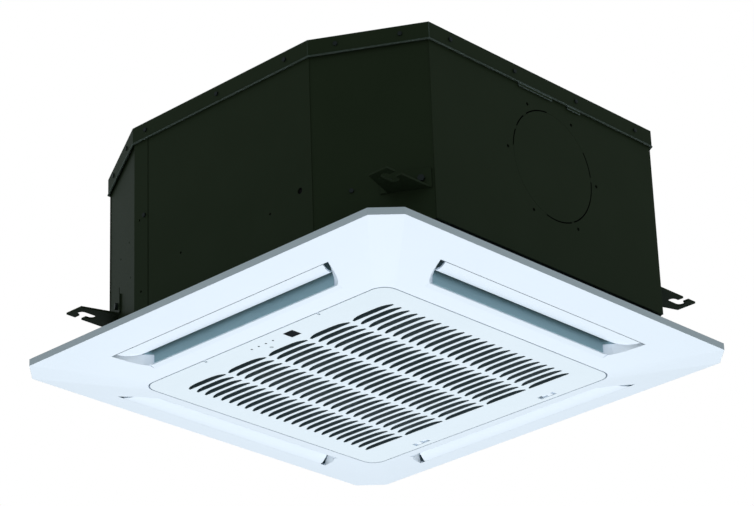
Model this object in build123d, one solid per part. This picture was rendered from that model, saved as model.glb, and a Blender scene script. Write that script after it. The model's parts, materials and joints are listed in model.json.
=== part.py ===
from build123d import *
import math
import os

# Ceiling cassette air conditioner, compact four-way type.  Millimetres.
# The origin is the centre of the ceiling plane, where the back of the panel's rim rests; +Z is up.
# -X is the display side, where the grille hinges; -Y has the round fresh-air knock-out;
# the refrigerant pipes leave through the (+X, +Y) corner.
# The steel casing sits a little off the panel's centre; the air path below it is centred on the panel.

# ---------------------------------------------------------------- driving dimensions: casing
BODY = 570.0             # length of the casing along Y
BODY_NARROW = 6.0        # it is this much narrower along X
BODY_H = 258.0
CASE_X = 2.0             # centre of the casing, from the centre of the panel
CASE_Y = -9.5
CUT_X = 73.0             # corner cut along X
CUT_Y = 129.0            # corner cut along Y
SHEET = 1.2
SEAM = 1.5               # dark line between a side sheet and a corner sheet's return
RETURN = 24.8            # a corner sheet turns this far onto the X side
FLANGE = 18.0            # seam flange behind a side sheet
SKIRT_OUT = 2.5          # the cover's skirt stands out from the sheets
SKIRT_H = 23.5
HEM = 0.8                # rolled edge of the skirt
HEM_H = 1.6
TAB_DROP = 4.0
TABS = ((-49.0, 13.0), (43.0, 67.0))
LINER = 8.0              # foam on the side sheets
TOP_LINER = 12.0
FIT = 0.3                # loose fit between moulded pieces

# ---------------------------------------------------------------- driving dimensions: panel
PANEL_LAP = 77.0         # the square panel is this much wider than the casing
PANEL_CUT = 30.0         # 45 degree cut at each panel corner
RIM_H = 9.0              # vertical rim below the ceiling
FACE_DROP = 23.0         # the face falls this far from the rim to the grille
SKIN = 2.5               # moulded wall of the panel and grille
COLLAR_TOP = 20.0        # top of the intake collar and the air guides
GASKET_H = 5.0           # compressed foam between the panel and the casing
GASKET_EDGE = 3.0
GASKET_CUT = 78.0
GASKET_STOP = 60.0       # a bar ends this far before the next duct's inner wall
BOLT_IN = 13.0           # panel bolts, in from the collar's walls
BOLT_R = 3.0
EAR_T = 4.0
EAR_LEG = 40.0

# air slots (written for the -Y side, turned to the other three)
DUCT_EDGE = 1.5          # outer wall of a duct, in from the end of the casing
DUCT_W = 45.5
DUCT_END_OUT = 93.2      # the duct's ends, from its own distance to the centre, at the outer wall
DUCT_END_IN = 82.0       # and at the inner wall
SLOT_STEP = 3.1          # bevel at the slot's outer edge
LIP = 7.0                # bevel at the slot's inner edge
SLOT_SHORT = 1.3         # the slot ends this far before the duct's outer corners
LIP_EDGE = 5.5           # the slot's inner edge, out from the start of its bevel
END_BULGE = 9.3          # the slot's ends are bowed
SLOT_LAND = 20.8         # face between a slot and the grille
GUIDE_WALL = 3.0

# louvers
LOUVER_R = 48.7          # radius of the blade's curved section
LOUVER_FROM = -8.0       # degrees from straight down, at the outer edge
LOUVER_TO = 34.7         # degrees from straight down, at the free edge
LOUVER_T = 2.2
LOUVER_EDGE = 1.4        # gap at the blade's outer edge
LOUVER_END_OUT = 10.8    # the blade's ends, in from the duct's corners
LOUVER_END_IN = 3.0
LUG_AT = 28.0            # the blade's lugs, in from the bosses' ends
PIVOT_IN = 13.5          # louver axis, in from the duct's outer wall
PIVOT_UP = 8.75          # and above the slot's outer edge
PIN_R = 1.5
PIN_CLEAR = 0.05
BOSS_R = 4.0
MOTOR_CAN_R = 10.0

# grille
GRILLE_R = 20.0
GRILLE_GAP = 1.5         # line between the grille and the panel
GRILLE_WALL_H = 10.0
GRILLE_EDGE_T = 2.0
SLOT_PITCH = 13.93
SLOT_COLS = 5
SLOT_W = 7.2
SLOT_TIP = 1.6           # width of a slot at its pointed ends
SLOT_LEAN = 1.6
MULLION = 6.0
FIELD_EDGE_X = 41.0      # plain border of the grille
FIELD_EDGE_Y = 28.7
FIELD_RIM = 6.0
FIELD_T = 8.0

# grille hinge, latches, display
HINGE_IN = 2.7
HINGE_UP = 3.0
HINGE_PIN_R = 1.2
KNUCKLE_R = 2.2
KNUCKLE_LEN = 11.0
LUG_T = 2.0
LUG_GAP = 0.5
HINGE_Y = 105.0
LATCH_IN = 11.7
LATCH_Y = 110.0
LATCH_TRAVEL = 8.0
LATCH_WINDOW = 26.0
RUNNER_W = 10.0
RECEIVER = 16.4
RECEIVER_IN = 21.2
RECEIVER_Y = -35.0
LAMP_IN = 18.7
LAMP_FIRST_Y = -4.6
LAMP_PITCH = 12.35
LAMP_COUNT = 4
LAMP_R = 1.5
BUTTON_IN = 31.7
BUTTON_Y = 11.0
BUTTON_R = 2.4
BUTTON_TRAVEL = 2.0
DISPLAY_IN = 7.7
DISPLAY_HALF = 48.0
DISPLAY_H = 12.0
WINDOW_CLEAR = 0.1
FILTER_EDGE = 8.0
FILTER_T = 5.0
NET_CELLS = 10

# ---------------------------------------------------------------- driving dimensions: casing details
KNOCK_X = 9.2
KNOCK_DOWN = 118.4       # knock-out centre, below the top
KNOCK_R = 72.5
KNOCK_PCD = 166.0
KNOCK_HOLE_R = 2.2
KNOCK_HOLES = 6

HANG_IN_X = 17.0         # hanger slot centres, in from the casing's sides
HANG_IN_Y = 20.0
HANG_UP = 40.0           # above the casing's lower edge
HANG_T = 2.5
HANG_SLOT_R = 6.0
HANG_SLOT_L = 27.0
HANG_MOUTH = 10.5
HANG_OUT_X = 4.0         # the plate stands this far outside the casing along X
HANG_EDGE_Y = 14.5       # its outer edge, from the slot's centre
HANG_FLANGE_H = 25.0
HANG_ALONG = (8.0, 70.0)
HANG_BOLTS = (20.0, 58.0)
SCREW_R = 3.0
SCREW_H = 1.8
WALL_HOLES = ((-135.9, 89.4, 4.0), (71.0, 80.6, 1.6), (-85.0, 77.0, 1.6))
RETURN_HOLES = ((12.5, 52.5), (9.5, 151.0))
CORNER_HOLES = ((-38.7, 140.0), (10.9, 139.0), (-47.6, 87.6))
CORNER_SLOT = (20.5, 98.0)
SMALL_HOLE_R = 1.6

# ---------------------------------------------------------------- driving dimensions: air path
PAN_H = 50.0
PAN_FLOOR = 10.0
PAN_RIM = 4.0
TROUGH_OUT_GAP = 4.0     # trough wall, in from the ducts
TROUGH_IN_GAP = 14.0     # and in from the coil
COIL_GAP_OUT = 10.0      # coil face, in from the ducts
COIL_T = 28.0
COIL_R = 50.0
COIL_FOOT = 7.0
COIL_CLEAR = 9.8         # under the top foam
COIL_STOP = 88.0         # the coil stops this far before the (+X, +Y) corner
BEND_COUNT = 5
BEND_R = 10.5
BEND_TUBE_R = 4.5
BEND_END = 25.0
FOOT_STEP = 110.0

FAN_GAP = 35.0           # between the fan and the coil
FAN_EYE_IN = 47.0
FAN_LOW_UP = 65.0        # shroud's eye, above the casing's lower edge
SHROUD_H = 38.0
FAN_WALL = 3.0
BLADES = 7
BLADE_ROOT_IN = 65.0
BLADE_T = 7.0
BLADE_LEAN = 38.0
HUB_DROP = 46.0
HUB_BOSS_R = 16.0
HUB_BOSS_L = 34.0
MOUTH_LAP = 5.0          # the mouth reaches this far into the eye
MOUTH_GAP = 10.0
MOUTH_T = 2.5
MOUTH_FLANGE = 26.0
MOUTH_FLARE = 7.0
PROFILE_STEPS = 5

SHAFT_R = 6.0
SHAFT_CLEAR = 0.05
MOTOR_R = 60.0
MOTOR_H = 52.0
MOTOR_DROP = 77.8        # underside of the motor, below the cover
HUB_UNDER = 32.0         # hub plate, above the underside of the motor
MOTOR_PLATE_T = 2.0
FOOT_T = 3.0
FOOT_OUT = 20.0
MOUNT_R = 9.0

PIPES = ((18.0, 81.8, 6.35, -78.0), (-18.0, 116.8, 3.175, -60.0))  # along, below the cover, radius, start
PIPE_WALL = 0.8
PIPE_END = 31.0          # the stubs end this far outside the corner sheet
PIPE_CLEAR = 0.1
NUT_GRIP = 14.0
NUT_SEAT = 2.0
NUT_MOUTH = 10.0
NUT_WALL = 6.0
PORT_W = 76.0
PORT_H = 96.0
PORT_LAP = 8.0
HEADER_WALL = 1.65
HEADER_DROP = 104.0
BRANCH_R = 2.5

PUMP_IN = 33.0           # pump centre, in from the ducts
PUMP_R = 24.0
PUMP_FOOT_R = 16.0
PUMP_UP = 3.0
PUMP_H = 92.0
SPOUT_R = 7.0
SPOUT_DOWN = 15.0
SPOUT_X = 19.8
SPOUT_Y = 22.5
DRAIN_R = 12.5
DRAIN_BORE = 10.0
DRAIN_Y = 112.0
DRAIN_DOWN = 76.8
DRAIN_OUT = 35.0
FLOAT_IN = (70.0, 28.0)
FLOAT_R = 10.0
FLOAT_H = 14.0
STEM_R = 3.0

BOX_W = 60.0             # control box under the bell mouth's flange
BOX_OUT = 8.0
BOX_HALF = 95.0
BOX_H = 35.5
BOX_T = 1.0

# ---------------------------------------------------------------- derived
BX = (BODY - BODY_NARROW) / 2
BY = BODY / 2
BODY_Z0 = COLLAR_TOP + GASKET_H
BODY_Z1 = BODY_Z0 + BODY_H
COVER_Z = BODY_Z1 - SHEET
SKIRT_Z = BODY_Z1 - SKIRT_H
HALF = (BODY + PANEL_LAP) / 2
DUCT_OUT = BY - DUCT_EDGE
DUCT_IN = DUCT_OUT - DUCT_W
GASKET_BAR = DUCT_IN - GASKET_STOP
DUCT_HALF_OUT = DUCT_OUT - DUCT_END_OUT
DUCT_HALF_IN = DUCT_IN - DUCT_END_IN
END_SLANT = (DUCT_HALF_OUT - DUCT_HALF_IN) / DUCT_W
SLOT_OUT = DUCT_OUT - SLOT_STEP
SLOT_LIP = DUCT_IN - LIP
SLOT_HALF_OUT = DUCT_HALF_OUT - SLOT_SHORT
SLOT_HALF_IN = DUCT_HALF_IN + LIP
OPEN = 2 * (SLOT_LIP - SLOT_LAND)
GRILLE = OPEN - 2 * GRILLE_GAP
FACE_Z = -RIM_H - FACE_DROP
FACE_SLOPE = FACE_DROP / (HALF - OPEN / 2)
SLOT_EDGE_Z = -RIM_H - FACE_SLOPE * (HALF - SLOT_OUT)
PIVOT_Y = PIVOT_IN - DUCT_OUT
PIVOT_Z = SLOT_EDGE_Z + PIVOT_UP
FUNNEL_TOP = PIVOT_Z - BOSS_R - FIT
BOSS_END = DUCT_HALF_OUT + 1.7
FIELD_TOP = FACE_Z + FIELD_T
SLOT_ROWS = int((GRILLE - 2 * FIELD_EDGE_X) / SLOT_PITCH)
COL_PITCH = (GRILLE - 2 * FIELD_EDGE_Y) / SLOT_COLS
SLOT_LEN = COL_PITCH - MULLION
FIELD_X = (SLOT_ROWS * SLOT_PITCH) / 2 + FIELD_RIM - (SLOT_PITCH - SLOT_W) / 2
FIELD_Y = SLOT_COLS * COL_PITCH / 2 + MULLION / 2
HINGE_X = HINGE_IN - GRILLE / 2
HINGE_Z = FACE_Z + HINGE_UP
LATCH_X = GRILLE / 2 - LATCH_IN
RECEIVER_X = RECEIVER_IN - GRILLE / 2
LAMP_X = LAMP_IN - GRILLE / 2
BUTTON_X = BUTTON_IN - GRILLE / 2
BACK_Z = FACE_Z + SKIN   # back of the grille's plain border
FILTER_X = FIELD_X - FILTER_EDGE
FILTER_Y = FIELD_Y - FILTER_EDGE
COIL_OUT = DUCT_IN - COIL_GAP_OUT
COIL_MID = COIL_OUT - COIL_T / 2
COIL_END = COIL_OUT - COIL_STOP
TROUGH_OUT = DUCT_IN - TROUGH_OUT_GAP
TROUGH_IN = COIL_OUT - COIL_T - TROUGH_IN_GAP
FLOOR_Z = BODY_Z0 + PAN_FLOOR
COIL_Z = FLOOR_Z + COIL_FOOT
COIL_H = COVER_Z - TOP_LINER - COIL_CLEAR - COIL_Z
BEND_PITCH = (COIL_H - 2 * BEND_END) / (BEND_COUNT - 1)
FAN_R = COIL_OUT - COIL_T - FAN_GAP
FAN_EYE = FAN_R - FAN_EYE_IN
FAN_LOW = BODY_Z0 + FAN_LOW_UP
MOUTH_R = FAN_EYE - MOUTH_GAP
MOUTH_TOP = FAN_LOW + MOUTH_LAP
MOUTH_OUT_R = OPEN / 2 - BOLT_IN + 0.8
PAN_HOLE_R = MOUTH_OUT_R - MOUTH_FLANGE
MOUTH_IN_R = PAN_HOLE_R - MOUTH_FLARE
MOUTH_Z = BODY_Z0 - MOUTH_T
MOTOR_LOW = COVER_Z - MOTOR_DROP
FOOT_Z = MOTOR_LOW + MOTOR_H - 8
FAN_TOP = MOTOR_LOW + HUB_UNDER
HUB_DOME_R = MOTOR_R + 16
HUB_LOW = FAN_TOP - HUB_DROP - HUB_BOSS_L
KNOCK_Z = BODY_Z1 - KNOCK_DOWN
HANG_X = BX - HANG_IN_X
HANG_Y = BY - HANG_IN_Y
HANG_Z = BODY_Z0 + HANG_UP
PORT_Z = COVER_Z - (PIPES[0][1] + PIPES[1][1]) / 2 - 2.5
DRAIN_Z = COVER_Z - DRAIN_DOWN
WALL_X = BX + CASE_X
PUMP_AT = DUCT_IN - PUMP_IN
PUMP_TOP = FLOOR_Z + PUMP_UP + PUMP_H
FLOAT_AT = (DUCT_IN - FLOAT_IN[0], DUCT_IN - FLOAT_IN[1])
BOX_X0 = -MOUTH_OUT_R - BOX_OUT
BOX_X1 = BOX_X0 + BOX_W
BOX_Z0 = MOUTH_Z - BOX_H
CORNER_LEN = math.hypot(CUT_X, CUT_Y)
CORNER_N = (CUT_Y / CORNER_LEN, CUT_X / CORNER_LEN)
CORNER_D = CORNER_N[0] * BX + CORNER_N[1] * (BY - CUT_Y)
CORNER_MID = (BX - CUT_X / 2, BY - CUT_Y / 2)
ON_BASE = (Align.CENTER, Align.CENTER, Align.MIN)


# ---------------------------------------------------------------- helpers
def face_z(distance):
    """Height of the panel's face at a distance from the centre, towards a side."""
    return -RIM_H - FACE_SLOPE * (HALF - distance)


def polygon(points):
    return make_face(Polyline(*points, close=True))


def octagon_points(ax, ay, bx, by):
    """Corners of an octagon whose (+X, +Y) corner is cut from (ax, ay) to (bx, by)."""
    return [(ax, ay), (bx, by), (-bx, by), (-ax, ay), (-ax, -ay), (-bx, -by), (bx, -by), (ax, -ay)]


def octagon(half, cut):
    return polygon(octagon_points(half, half - cut, half - cut, half))


def prism(face, low, high):
    return extrude(Pos(0, 0, low) * face, amount=high - low)


def block(x0, x1, y0, y1, z0, z1):
    size = (x1 - x0, y1 - y0, z1 - z0)
    return Pos(x0, y0, z0) * Box(*size, align=(Align.MIN, Align.MIN, Align.MIN))


def rounded(side, radius):
    return RectangleRounded(side, side, radius)


def rod(radius, start, end):
    """A straight round rod from one point to another."""
    a = Vector(*start)
    b = Vector(*end)
    return extrude(Plane(origin=a, z_dir=b - a) * Circle(radius), amount=(b - a).length)


def ring_of(outer, inner, low, high):
    return prism(outer, low, high) - prism(inner, low - 1, high + 1)


def turned(shape):
    """The same shape on the four sides, starting with the -Y side."""
    return [Rot(0, 0, -90 * k) * shape for k in range(4)]


def corners(shape):
    """A shape made at the (+X, +Y) corner, mirrored to the other three."""
    across = mirror(shape, about=Plane.YZ)
    return [shape, across, mirror(shape, about=Plane.XZ), mirror(across, about=Plane.XZ)]


def cased(shape):
    """A piece of the casing, written about the casing's centre, put in its place."""
    if isinstance(shape, list):
        return [Pos(CASE_X, CASE_Y, 0) * piece for piece in shape]
    return Pos(CASE_X, CASE_Y, 0) * shape


def quarter(r0, z0, r1, z1):
    """Points of a quarter ellipse that leaves (r0, z0) upright and reaches (r1, z1) level."""
    steps = [math.pi / 2 * k / PROFILE_STEPS for k in range(PROFILE_STEPS + 1)]
    return [(r0 + (r1 - r0) * (1 - math.cos(t)), z0 + (z1 - z0) * math.sin(t)) for t in steps]


def case_corner(inset):
    """The two ends of the casing's (+X, +Y) corner cut, once its outline is drawn in by inset."""
    x = BX - inset
    y = BY - inset
    reach = CORNER_D - inset
    return (x, (reach - CORNER_N[0] * x) / CORNER_N[1]), ((reach - CORNER_N[1] * y) / CORNER_N[0], y)


def case_outline(inset):
    (ax, ay), (bx, by) = case_corner(inset)
    return polygon(octagon_points(ax, ay, bx, by))


def corner_plane(along, height, out):
    """A plane on the (+X, +Y) corner sheet: along the sheet, up, and outwards."""
    origin = (CORNER_MID[0] - CORNER_N[1] * along + CORNER_N[0] * out,
              CORNER_MID[1] + CORNER_N[0] * along + CORNER_N[1] * out, height)
    return Plane(origin=origin, x_dir=(-CORNER_N[1], CORNER_N[0], 0), z_dir=(*CORNER_N, 0))


def corner_rod(radius, along, height, start, end):
    return extrude(corner_plane(along, height, start) * Circle(radius), amount=end - start)


# ---------------------------------------------------------------- panel
def duct_plan(grow):
    """Outline of a duct seen from below, on the -Y side."""
    side = grow * math.hypot(1, END_SLANT)
    out_half = DUCT_HALF_OUT + side + END_SLANT * grow
    in_half = DUCT_HALF_IN + side - END_SLANT * grow
    return polygon([(-out_half, -DUCT_OUT - grow), (out_half, -DUCT_OUT - grow),
                    (in_half, -DUCT_IN + grow), (-in_half, -DUCT_IN + grow)])


def bowed(start, end, bulge):
    """Points of a shallow curve between two points, standing off its chord by bulge."""
    run = (end[0] - start[0], end[1] - start[1])
    length = math.hypot(*run)
    points = []
    for k in range(PROFILE_STEPS + 1):
        t = k / PROFILE_STEPS
        off = 4 * bulge * t * (1 - t) / length
        points.append((start[0] + run[0] * t + run[1] * off, start[1] + run[1] * t - run[0] * off))
    return points


def slot_outline(half_out, half_in, inner_y, bulge):
    """Outline of a slot with bowed ends, on the -Y side."""
    right = bowed((half_out, -SLOT_OUT), (half_in, -inner_y), bulge)
    return polygon(right + [(-x, y) for x, y in reversed(right)])


def slot_plan():
    return slot_outline(SLOT_HALF_OUT, SLOT_HALF_IN, SLOT_LIP + LIP_EDGE, END_BULGE)


def slot_cutter():
    """The slot through the face: it narrows to the duct behind it, with a bevel along both edges."""
    above = slot_outline(SLOT_HALF_OUT - 1, DUCT_HALF_IN, DUCT_IN, 0)
    main = loft([Pos(0, 0, FACE_Z - 2) * slot_plan(), Pos(0, 0, FUNNEL_TOP) * above], ruled=True)
    edge_z = SLOT_EDGE_Z
    outer = polygon([(-SLOT_OUT + 1, edge_z - 1), (-SLOT_OUT, edge_z), (-DUCT_OUT, edge_z + SLOT_STEP),
                     (-DUCT_OUT, edge_z + 8), (-SLOT_OUT + 1, edge_z + 8)])
    lip_z = face_z(SLOT_LIP)
    inner = polygon([(-SLOT_LIP, lip_z), (-DUCT_IN - 1, lip_z - 3), (-DUCT_IN - 1, lip_z + 3),
                     (-DUCT_IN, lip_z + 3)])
    outer_bevel = extrude(Plane.YZ * outer, amount=SLOT_HALF_OUT - 3, both=True)
    inner_bevel = extrude(Plane.YZ * inner, amount=SLOT_HALF_IN, both=True)
    return main + outer_bevel + inner_bevel


def funnel_ends(hollow):
    """Solid ends of a slot's funnel, on the back of the skin, outside the duct's slanted end lines."""
    plan = offset(slot_plan(), amount=SKIN, kind=Kind.INTERSECTION)
    reach = 20
    beyond = polygon([(DUCT_HALF_IN - END_SLANT * reach, reach - DUCT_IN),
                      (DUCT_HALF_OUT + END_SLANT * reach, -DUCT_OUT - reach),
                      (DUCT_HALF_OUT + 3 * reach, -DUCT_OUT - reach),
                      (DUCT_HALF_OUT + 3 * reach, reach - DUCT_IN)])
    end = prism(plan & beyond, FACE_Z, FUNNEL_TOP) & hollow
    return [end, mirror(end, about=Plane.YZ)]


def panel_hollow():
    """The room behind the panel's skin, up to the ceiling plane."""
    wide = octagon(HALF - SKIN, PANEL_CUT - SKIN * (2 - math.sqrt(2)))
    low = loft([Pos(0, 0, SKIN - RIM_H) * wide, Pos(0, 0, BACK_Z) * rounded(OPEN, GRILLE_R)], ruled=True)
    return low + prism(wide, SKIN - RIM_H, 0)


def panel_skin(hollow):
    """The domed moulding with its rim, the square opening and the four slots."""
    plan = octagon(HALF, PANEL_CUT)
    dome = loft([Pos(0, 0, -RIM_H) * plan, Pos(0, 0, FACE_Z) * rounded(OPEN, GRILLE_R)], ruled=True)
    shape = dome + prism(plan, -RIM_H, 0) - hollow
    shape = shape - prism(rounded(OPEN, GRILLE_R), FACE_Z - 1, 1)
    for end in funnel_ends(hollow):
        shape = shape + turned(end)
    return shape - turned(slot_cutter())


def intake_collar(hollow):
    """Upright ring round the opening, with an ear for a bolt in each corner and the hinge lugs."""
    ring = ring_of(rounded(OPEN + 2 * SKIN, GRILLE_R + SKIN), rounded(OPEN, GRILLE_R), FACE_Z, COLLAR_TOP)
    roof = prism(Rectangle(2 * HALF, 2 * HALF), 0, COLLAR_TOP + 1)
    ring = ring & (hollow + roof)
    at = OPEN / 2 + 1
    ear = polygon([(at, at - EAR_LEG), (at, at), (at - EAR_LEG, at)]) & rounded(OPEN + 2, GRILLE_R + 1)
    shape = ring + corners(prism(ear, COLLAR_TOP - EAR_T, COLLAR_TOP))
    shape = shape - [Pos(*at, 0) * Cylinder(BOLT_R + 0.2, 3 * COLLAR_TOP) for at in panel_bolt_places()]
    return shape + hinge_lugs()


def panel_frame(hollow):
    return [panel_skin(hollow), intake_collar(hollow)]


def panel_bolt_places():
    at = OPEN / 2 - BOLT_IN
    return [(x, y) for x in (-at, at) for y in (-at, at)]


def lug_ends(side):
    """Where a hinge lug starts and ends along Y, beside its knuckle."""
    far = side * (HINGE_Y - KNUCKLE_LEN / 2 - LUG_GAP)
    near = far - side * LUG_T
    return min(near, far), max(near, far)


def hinge_lugs():
    """Two small plates on the collar, round at the end, that hold the grille's hinge pins."""
    lugs = []
    for side in (-1, 1):
        low, high = lug_ends(side)
        plate = block(-OPEN / 2 - 1, HINGE_X, low, high, HINGE_Z - KNUCKLE_R + 0.4, HINGE_Z + 5)
        tip = rod(KNUCKLE_R, (HINGE_X, low, HINGE_Z), (HINGE_X, high, HINGE_Z))
        bore = rod(HINGE_PIN_R, (HINGE_X, low - 1, HINGE_Z), (HINGE_X, high + 1, HINGE_Z))
        lugs.append(plate + tip - bore)
    return lugs


def hinge_pins():
    pins = []
    for side in (-1, 1):
        start = side * (HINGE_Y - KNUCKLE_LEN / 2 - LUG_GAP - LUG_T)
        end = side * (HINGE_Y + KNUCKLE_LEN / 2 - LUG_GAP)
        pins.append(rod(HINGE_PIN_R, (HINGE_X, start, HINGE_Z), (HINGE_X, end, HINGE_Z)))
    return pins


def air_guide(hollow):
    """The moulded duct over one slot, seated on the back of the panel's skin."""
    ring = ring_of(duct_plan(GUIDE_WALL), duct_plan(0), FACE_Z, COLLAR_TOP)
    roof = prism(Rectangle(2 * HALF, 2 * HALF), 0, COLLAR_TOP + 1)
    shape = (ring & (hollow + roof)) - funnel_ends(hollow)
    for side in (-1, 1):
        start = (side * (BOSS_END - 14), PIVOT_Y, PIVOT_Z)
        boss = rod(BOSS_R, start, (side * BOSS_END, PIVOT_Y, PIVOT_Z))
        shape = shape + (boss - prism(duct_plan(0), FACE_Z, 0))
        shape = shape - rod(PIN_R + PIN_CLEAR, start, (side * (BOSS_END + 1), PIVOT_Y, PIVOT_Z))
    return shape


def louver():
    """One curved blade, open as photographed, with an end lug and a pin at each end."""
    a0 = math.radians(LOUVER_FROM)
    a1 = math.radians(LOUVER_TO)
    centre_y = LOUVER_EDGE - SLOT_OUT - LOUVER_R * math.sin(a0)
    edge_z = SLOT_EDGE_Z - 0.25
    centre_z = edge_z + LOUVER_R * math.cos(a0)

    def at(angle, radius):
        return (centre_y + radius * math.sin(angle), centre_z - radius * math.cos(angle))

    mid = (a0 + a1) / 2
    under = ThreePointArc(at(a0, LOUVER_R), at(mid, LOUVER_R), at(a1, LOUVER_R))
    inner_r = LOUVER_R - LOUVER_T
    over = ThreePointArc(at(a1, inner_r), at(mid, inner_r), at(a0, inner_r))
    section = make_face([under, Line(under @ 1, over @ 0), over, Line(over @ 1, under @ 0)])
    half_out = DUCT_HALF_OUT - LOUVER_END_OUT
    half_in = DUCT_HALF_IN + LOUVER_END_IN
    blade = extrude(Plane.YZ * section, amount=half_out, both=True)
    free_y = at(a1, LOUVER_R)[0]
    start_y = LOUVER_EDGE - SLOT_OUT - 1
    plan = polygon([(-half_out, start_y), (half_out, start_y), (half_in, free_y + 2), (-half_in, free_y + 2)])
    blade = blade & prism(plan, FACE_Z, COLLAR_TOP)
    foot = polygon([(PIVOT_Y - 6, edge_z + 1), (PIVOT_Y + 6, edge_z + 1),
                    (PIVOT_Y + 3.5, PIVOT_Z + 2), (PIVOT_Y - 3.5, PIVOT_Z + 2)])
    lug_x = BOSS_END - LUG_AT
    for side in (-1, 1):
        lug = extrude(Plane.YZ.offset(side * lug_x) * foot, amount=side * 3)
        lug = lug + rod(3.5, (side * lug_x, PIVOT_Y, PIVOT_Z), (side * (lug_x + 3), PIVOT_Y, PIVOT_Z))
        pin = rod(PIN_R, (side * (lug_x + 2), PIVOT_Y, PIVOT_Z), (side * (BOSS_END + 3.5), PIVOT_Y, PIVOT_Z))
        blade = blade + lug + pin
    return blade


def louver_motor():
    """A small stepper motor at the end of a louver's axis, with its mounting ears."""
    body = rod(MOTOR_CAN_R, (BOSS_END, PIVOT_Y, PIVOT_Z + 5), (BOSS_END + 15, PIVOT_Y, PIVOT_Z + 5))
    ears = block(BOSS_END, BOSS_END + 1.5, PIVOT_Y - 9, PIVOT_Y + 15, PIVOT_Z + 1, PIVOT_Z + 9)
    socket = rod(PIN_R + PIN_CLEAR, (BOSS_END - 1, PIVOT_Y, PIVOT_Z), (BOSS_END + 5, PIVOT_Y, PIVOT_Z))
    return body + ears - socket


def panel_gasket():
    """Foam between the panel and the casing: a bar inside each duct and a pad in each corner."""
    bar = block(-GASKET_BAR, GASKET_BAR, -DUCT_IN, -OPEN / 2, COLLAR_TOP, BODY_Z0)
    half = DUCT_OUT + GASKET_EDGE
    pad = polygon([(DUCT_HALF_IN, DUCT_IN), (DUCT_HALF_OUT, DUCT_OUT), (half - GASKET_CUT, half),
                   (half, half - GASKET_CUT), (DUCT_OUT, DUCT_HALF_OUT), (DUCT_IN, DUCT_HALF_IN),
                   (DUCT_IN, GASKET_BAR), (GASKET_BAR, DUCT_IN)])
    return turned(bar) + corners(prism(pad, COLLAR_TOP, BODY_Z0))


def panel_bolts():
    bolts = []
    for x, y in panel_bolt_places():
        head = prism(Pos(x, y) * RegularPolygon(5, 6), COLLAR_TOP - EAR_T - 6, COLLAR_TOP - EAR_T)
        bolts.append(head + rod(BOLT_R, (x, y, COLLAR_TOP - EAR_T - 4), (x, y, FLOOR_Z - 2)))
    return bolts


# ---------------------------------------------------------------- grille and what rides on it
def grille_slot():
    """A slanted, lens-shaped slot between two bars: straight on one side and arched on the other."""
    half = SLOT_LEN / 2
    straight = SLOT_W / 2 - 0.2
    steps = [k / PROFILE_STEPS for k in range(-PROFILE_STEPS, PROFILE_STEPS + 1)]
    arch = [(straight - SLOT_TIP - (SLOT_W - SLOT_TIP) * (1 - t * t), half * t) for t in steps]
    plan = polygon(arch + [(straight, half), (straight, -half)])
    low = Pos(-SLOT_LEAN, 0, FACE_Z - 1) * plan
    high = Pos(SLOT_LEAN, 0, FIELD_TOP + 1) * plan
    return loft([low, high], ruled=True)


def intake_grille():
    wall_top = FACE_Z + GRILLE_WALL_H
    outline = rounded(GRILLE, GRILLE_R)
    inside = rounded(GRILLE - 2 * GRILLE_EDGE_T, GRILLE_R - GRILLE_EDGE_T)
    wall = prism(outline, FACE_Z, wall_top) - prism(inside, BACK_Z, wall_top + 1)
    shape = wall + block(-FIELD_X, FIELD_X, -FIELD_Y, FIELD_Y, FACE_Z, FIELD_TOP)
    cutter = grille_slot()
    cuts = []
    for row in range(SLOT_ROWS):
        for col in range(SLOT_COLS):
            x = (row - (SLOT_ROWS - 1) / 2) * SLOT_PITCH
            y = (col - (SLOT_COLS - 1) / 2) * COL_PITCH
            cuts.append(Pos(x, y, 0) * cutter)
    shape = shape - cuts
    for side in (-1, 1):
        shape = grille_hinge(shape, side)
        window = block(LATCH_X - 4, LATCH_X + 4, side * LATCH_Y - LATCH_WINDOW / 2,
                       side * LATCH_Y + LATCH_WINDOW / 2, FACE_Z - 1, BACK_Z + 1)
        shape = shape - window
        shape = shape + latch_rails(side)
    r = RECEIVER / 2
    shape = shape - block(RECEIVER_X - r, RECEIVER_X + r, RECEIVER_Y - r, RECEIVER_Y + r, FACE_Z - 1, BACK_Z + 1)
    shape = shape - [Pos(LAMP_X, y, FACE_Z) * Cylinder(LAMP_R + WINDOW_CLEAR, 8) for y in lamp_places()]
    return shape - Pos(BUTTON_X, BUTTON_Y, FACE_Z) * Cylinder(BUTTON_R + WINDOW_CLEAR, 8)


def grille_hinge(shape, side):
    """The grille with one knuckle on its -X edge and the notch beside it for the lug."""
    y0, y1 = sorted((side * (HINGE_Y - KNUCKLE_LEN / 2), side * (HINGE_Y + KNUCKLE_LEN / 2)))
    low, high = lug_ends(side)
    shape = shape - block(-GRILLE / 2 - 1, HINGE_X + 3, low - LUG_GAP, high + LUG_GAP, FACE_Z - 1, HINGE_Z + 8)
    shape = shape - block(-GRILLE / 2 - 1, HINGE_X - 0.5, y0, y1, BACK_Z, HINGE_Z + 8)
    knuckle = rod(KNUCKLE_R, (HINGE_X, y0, HINGE_Z), (HINGE_X, y1, HINGE_Z))
    web = block(HINGE_X - 0.5, HINGE_X + 4, y0, y1, FACE_Z + 1, HINGE_Z + KNUCKLE_R)
    bore = rod(HINGE_PIN_R + PIN_CLEAR, (HINGE_X, y0 - 5, HINGE_Z), (HINGE_X, y1 + 5, HINGE_Z))
    return shape + knuckle + web - bore


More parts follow.
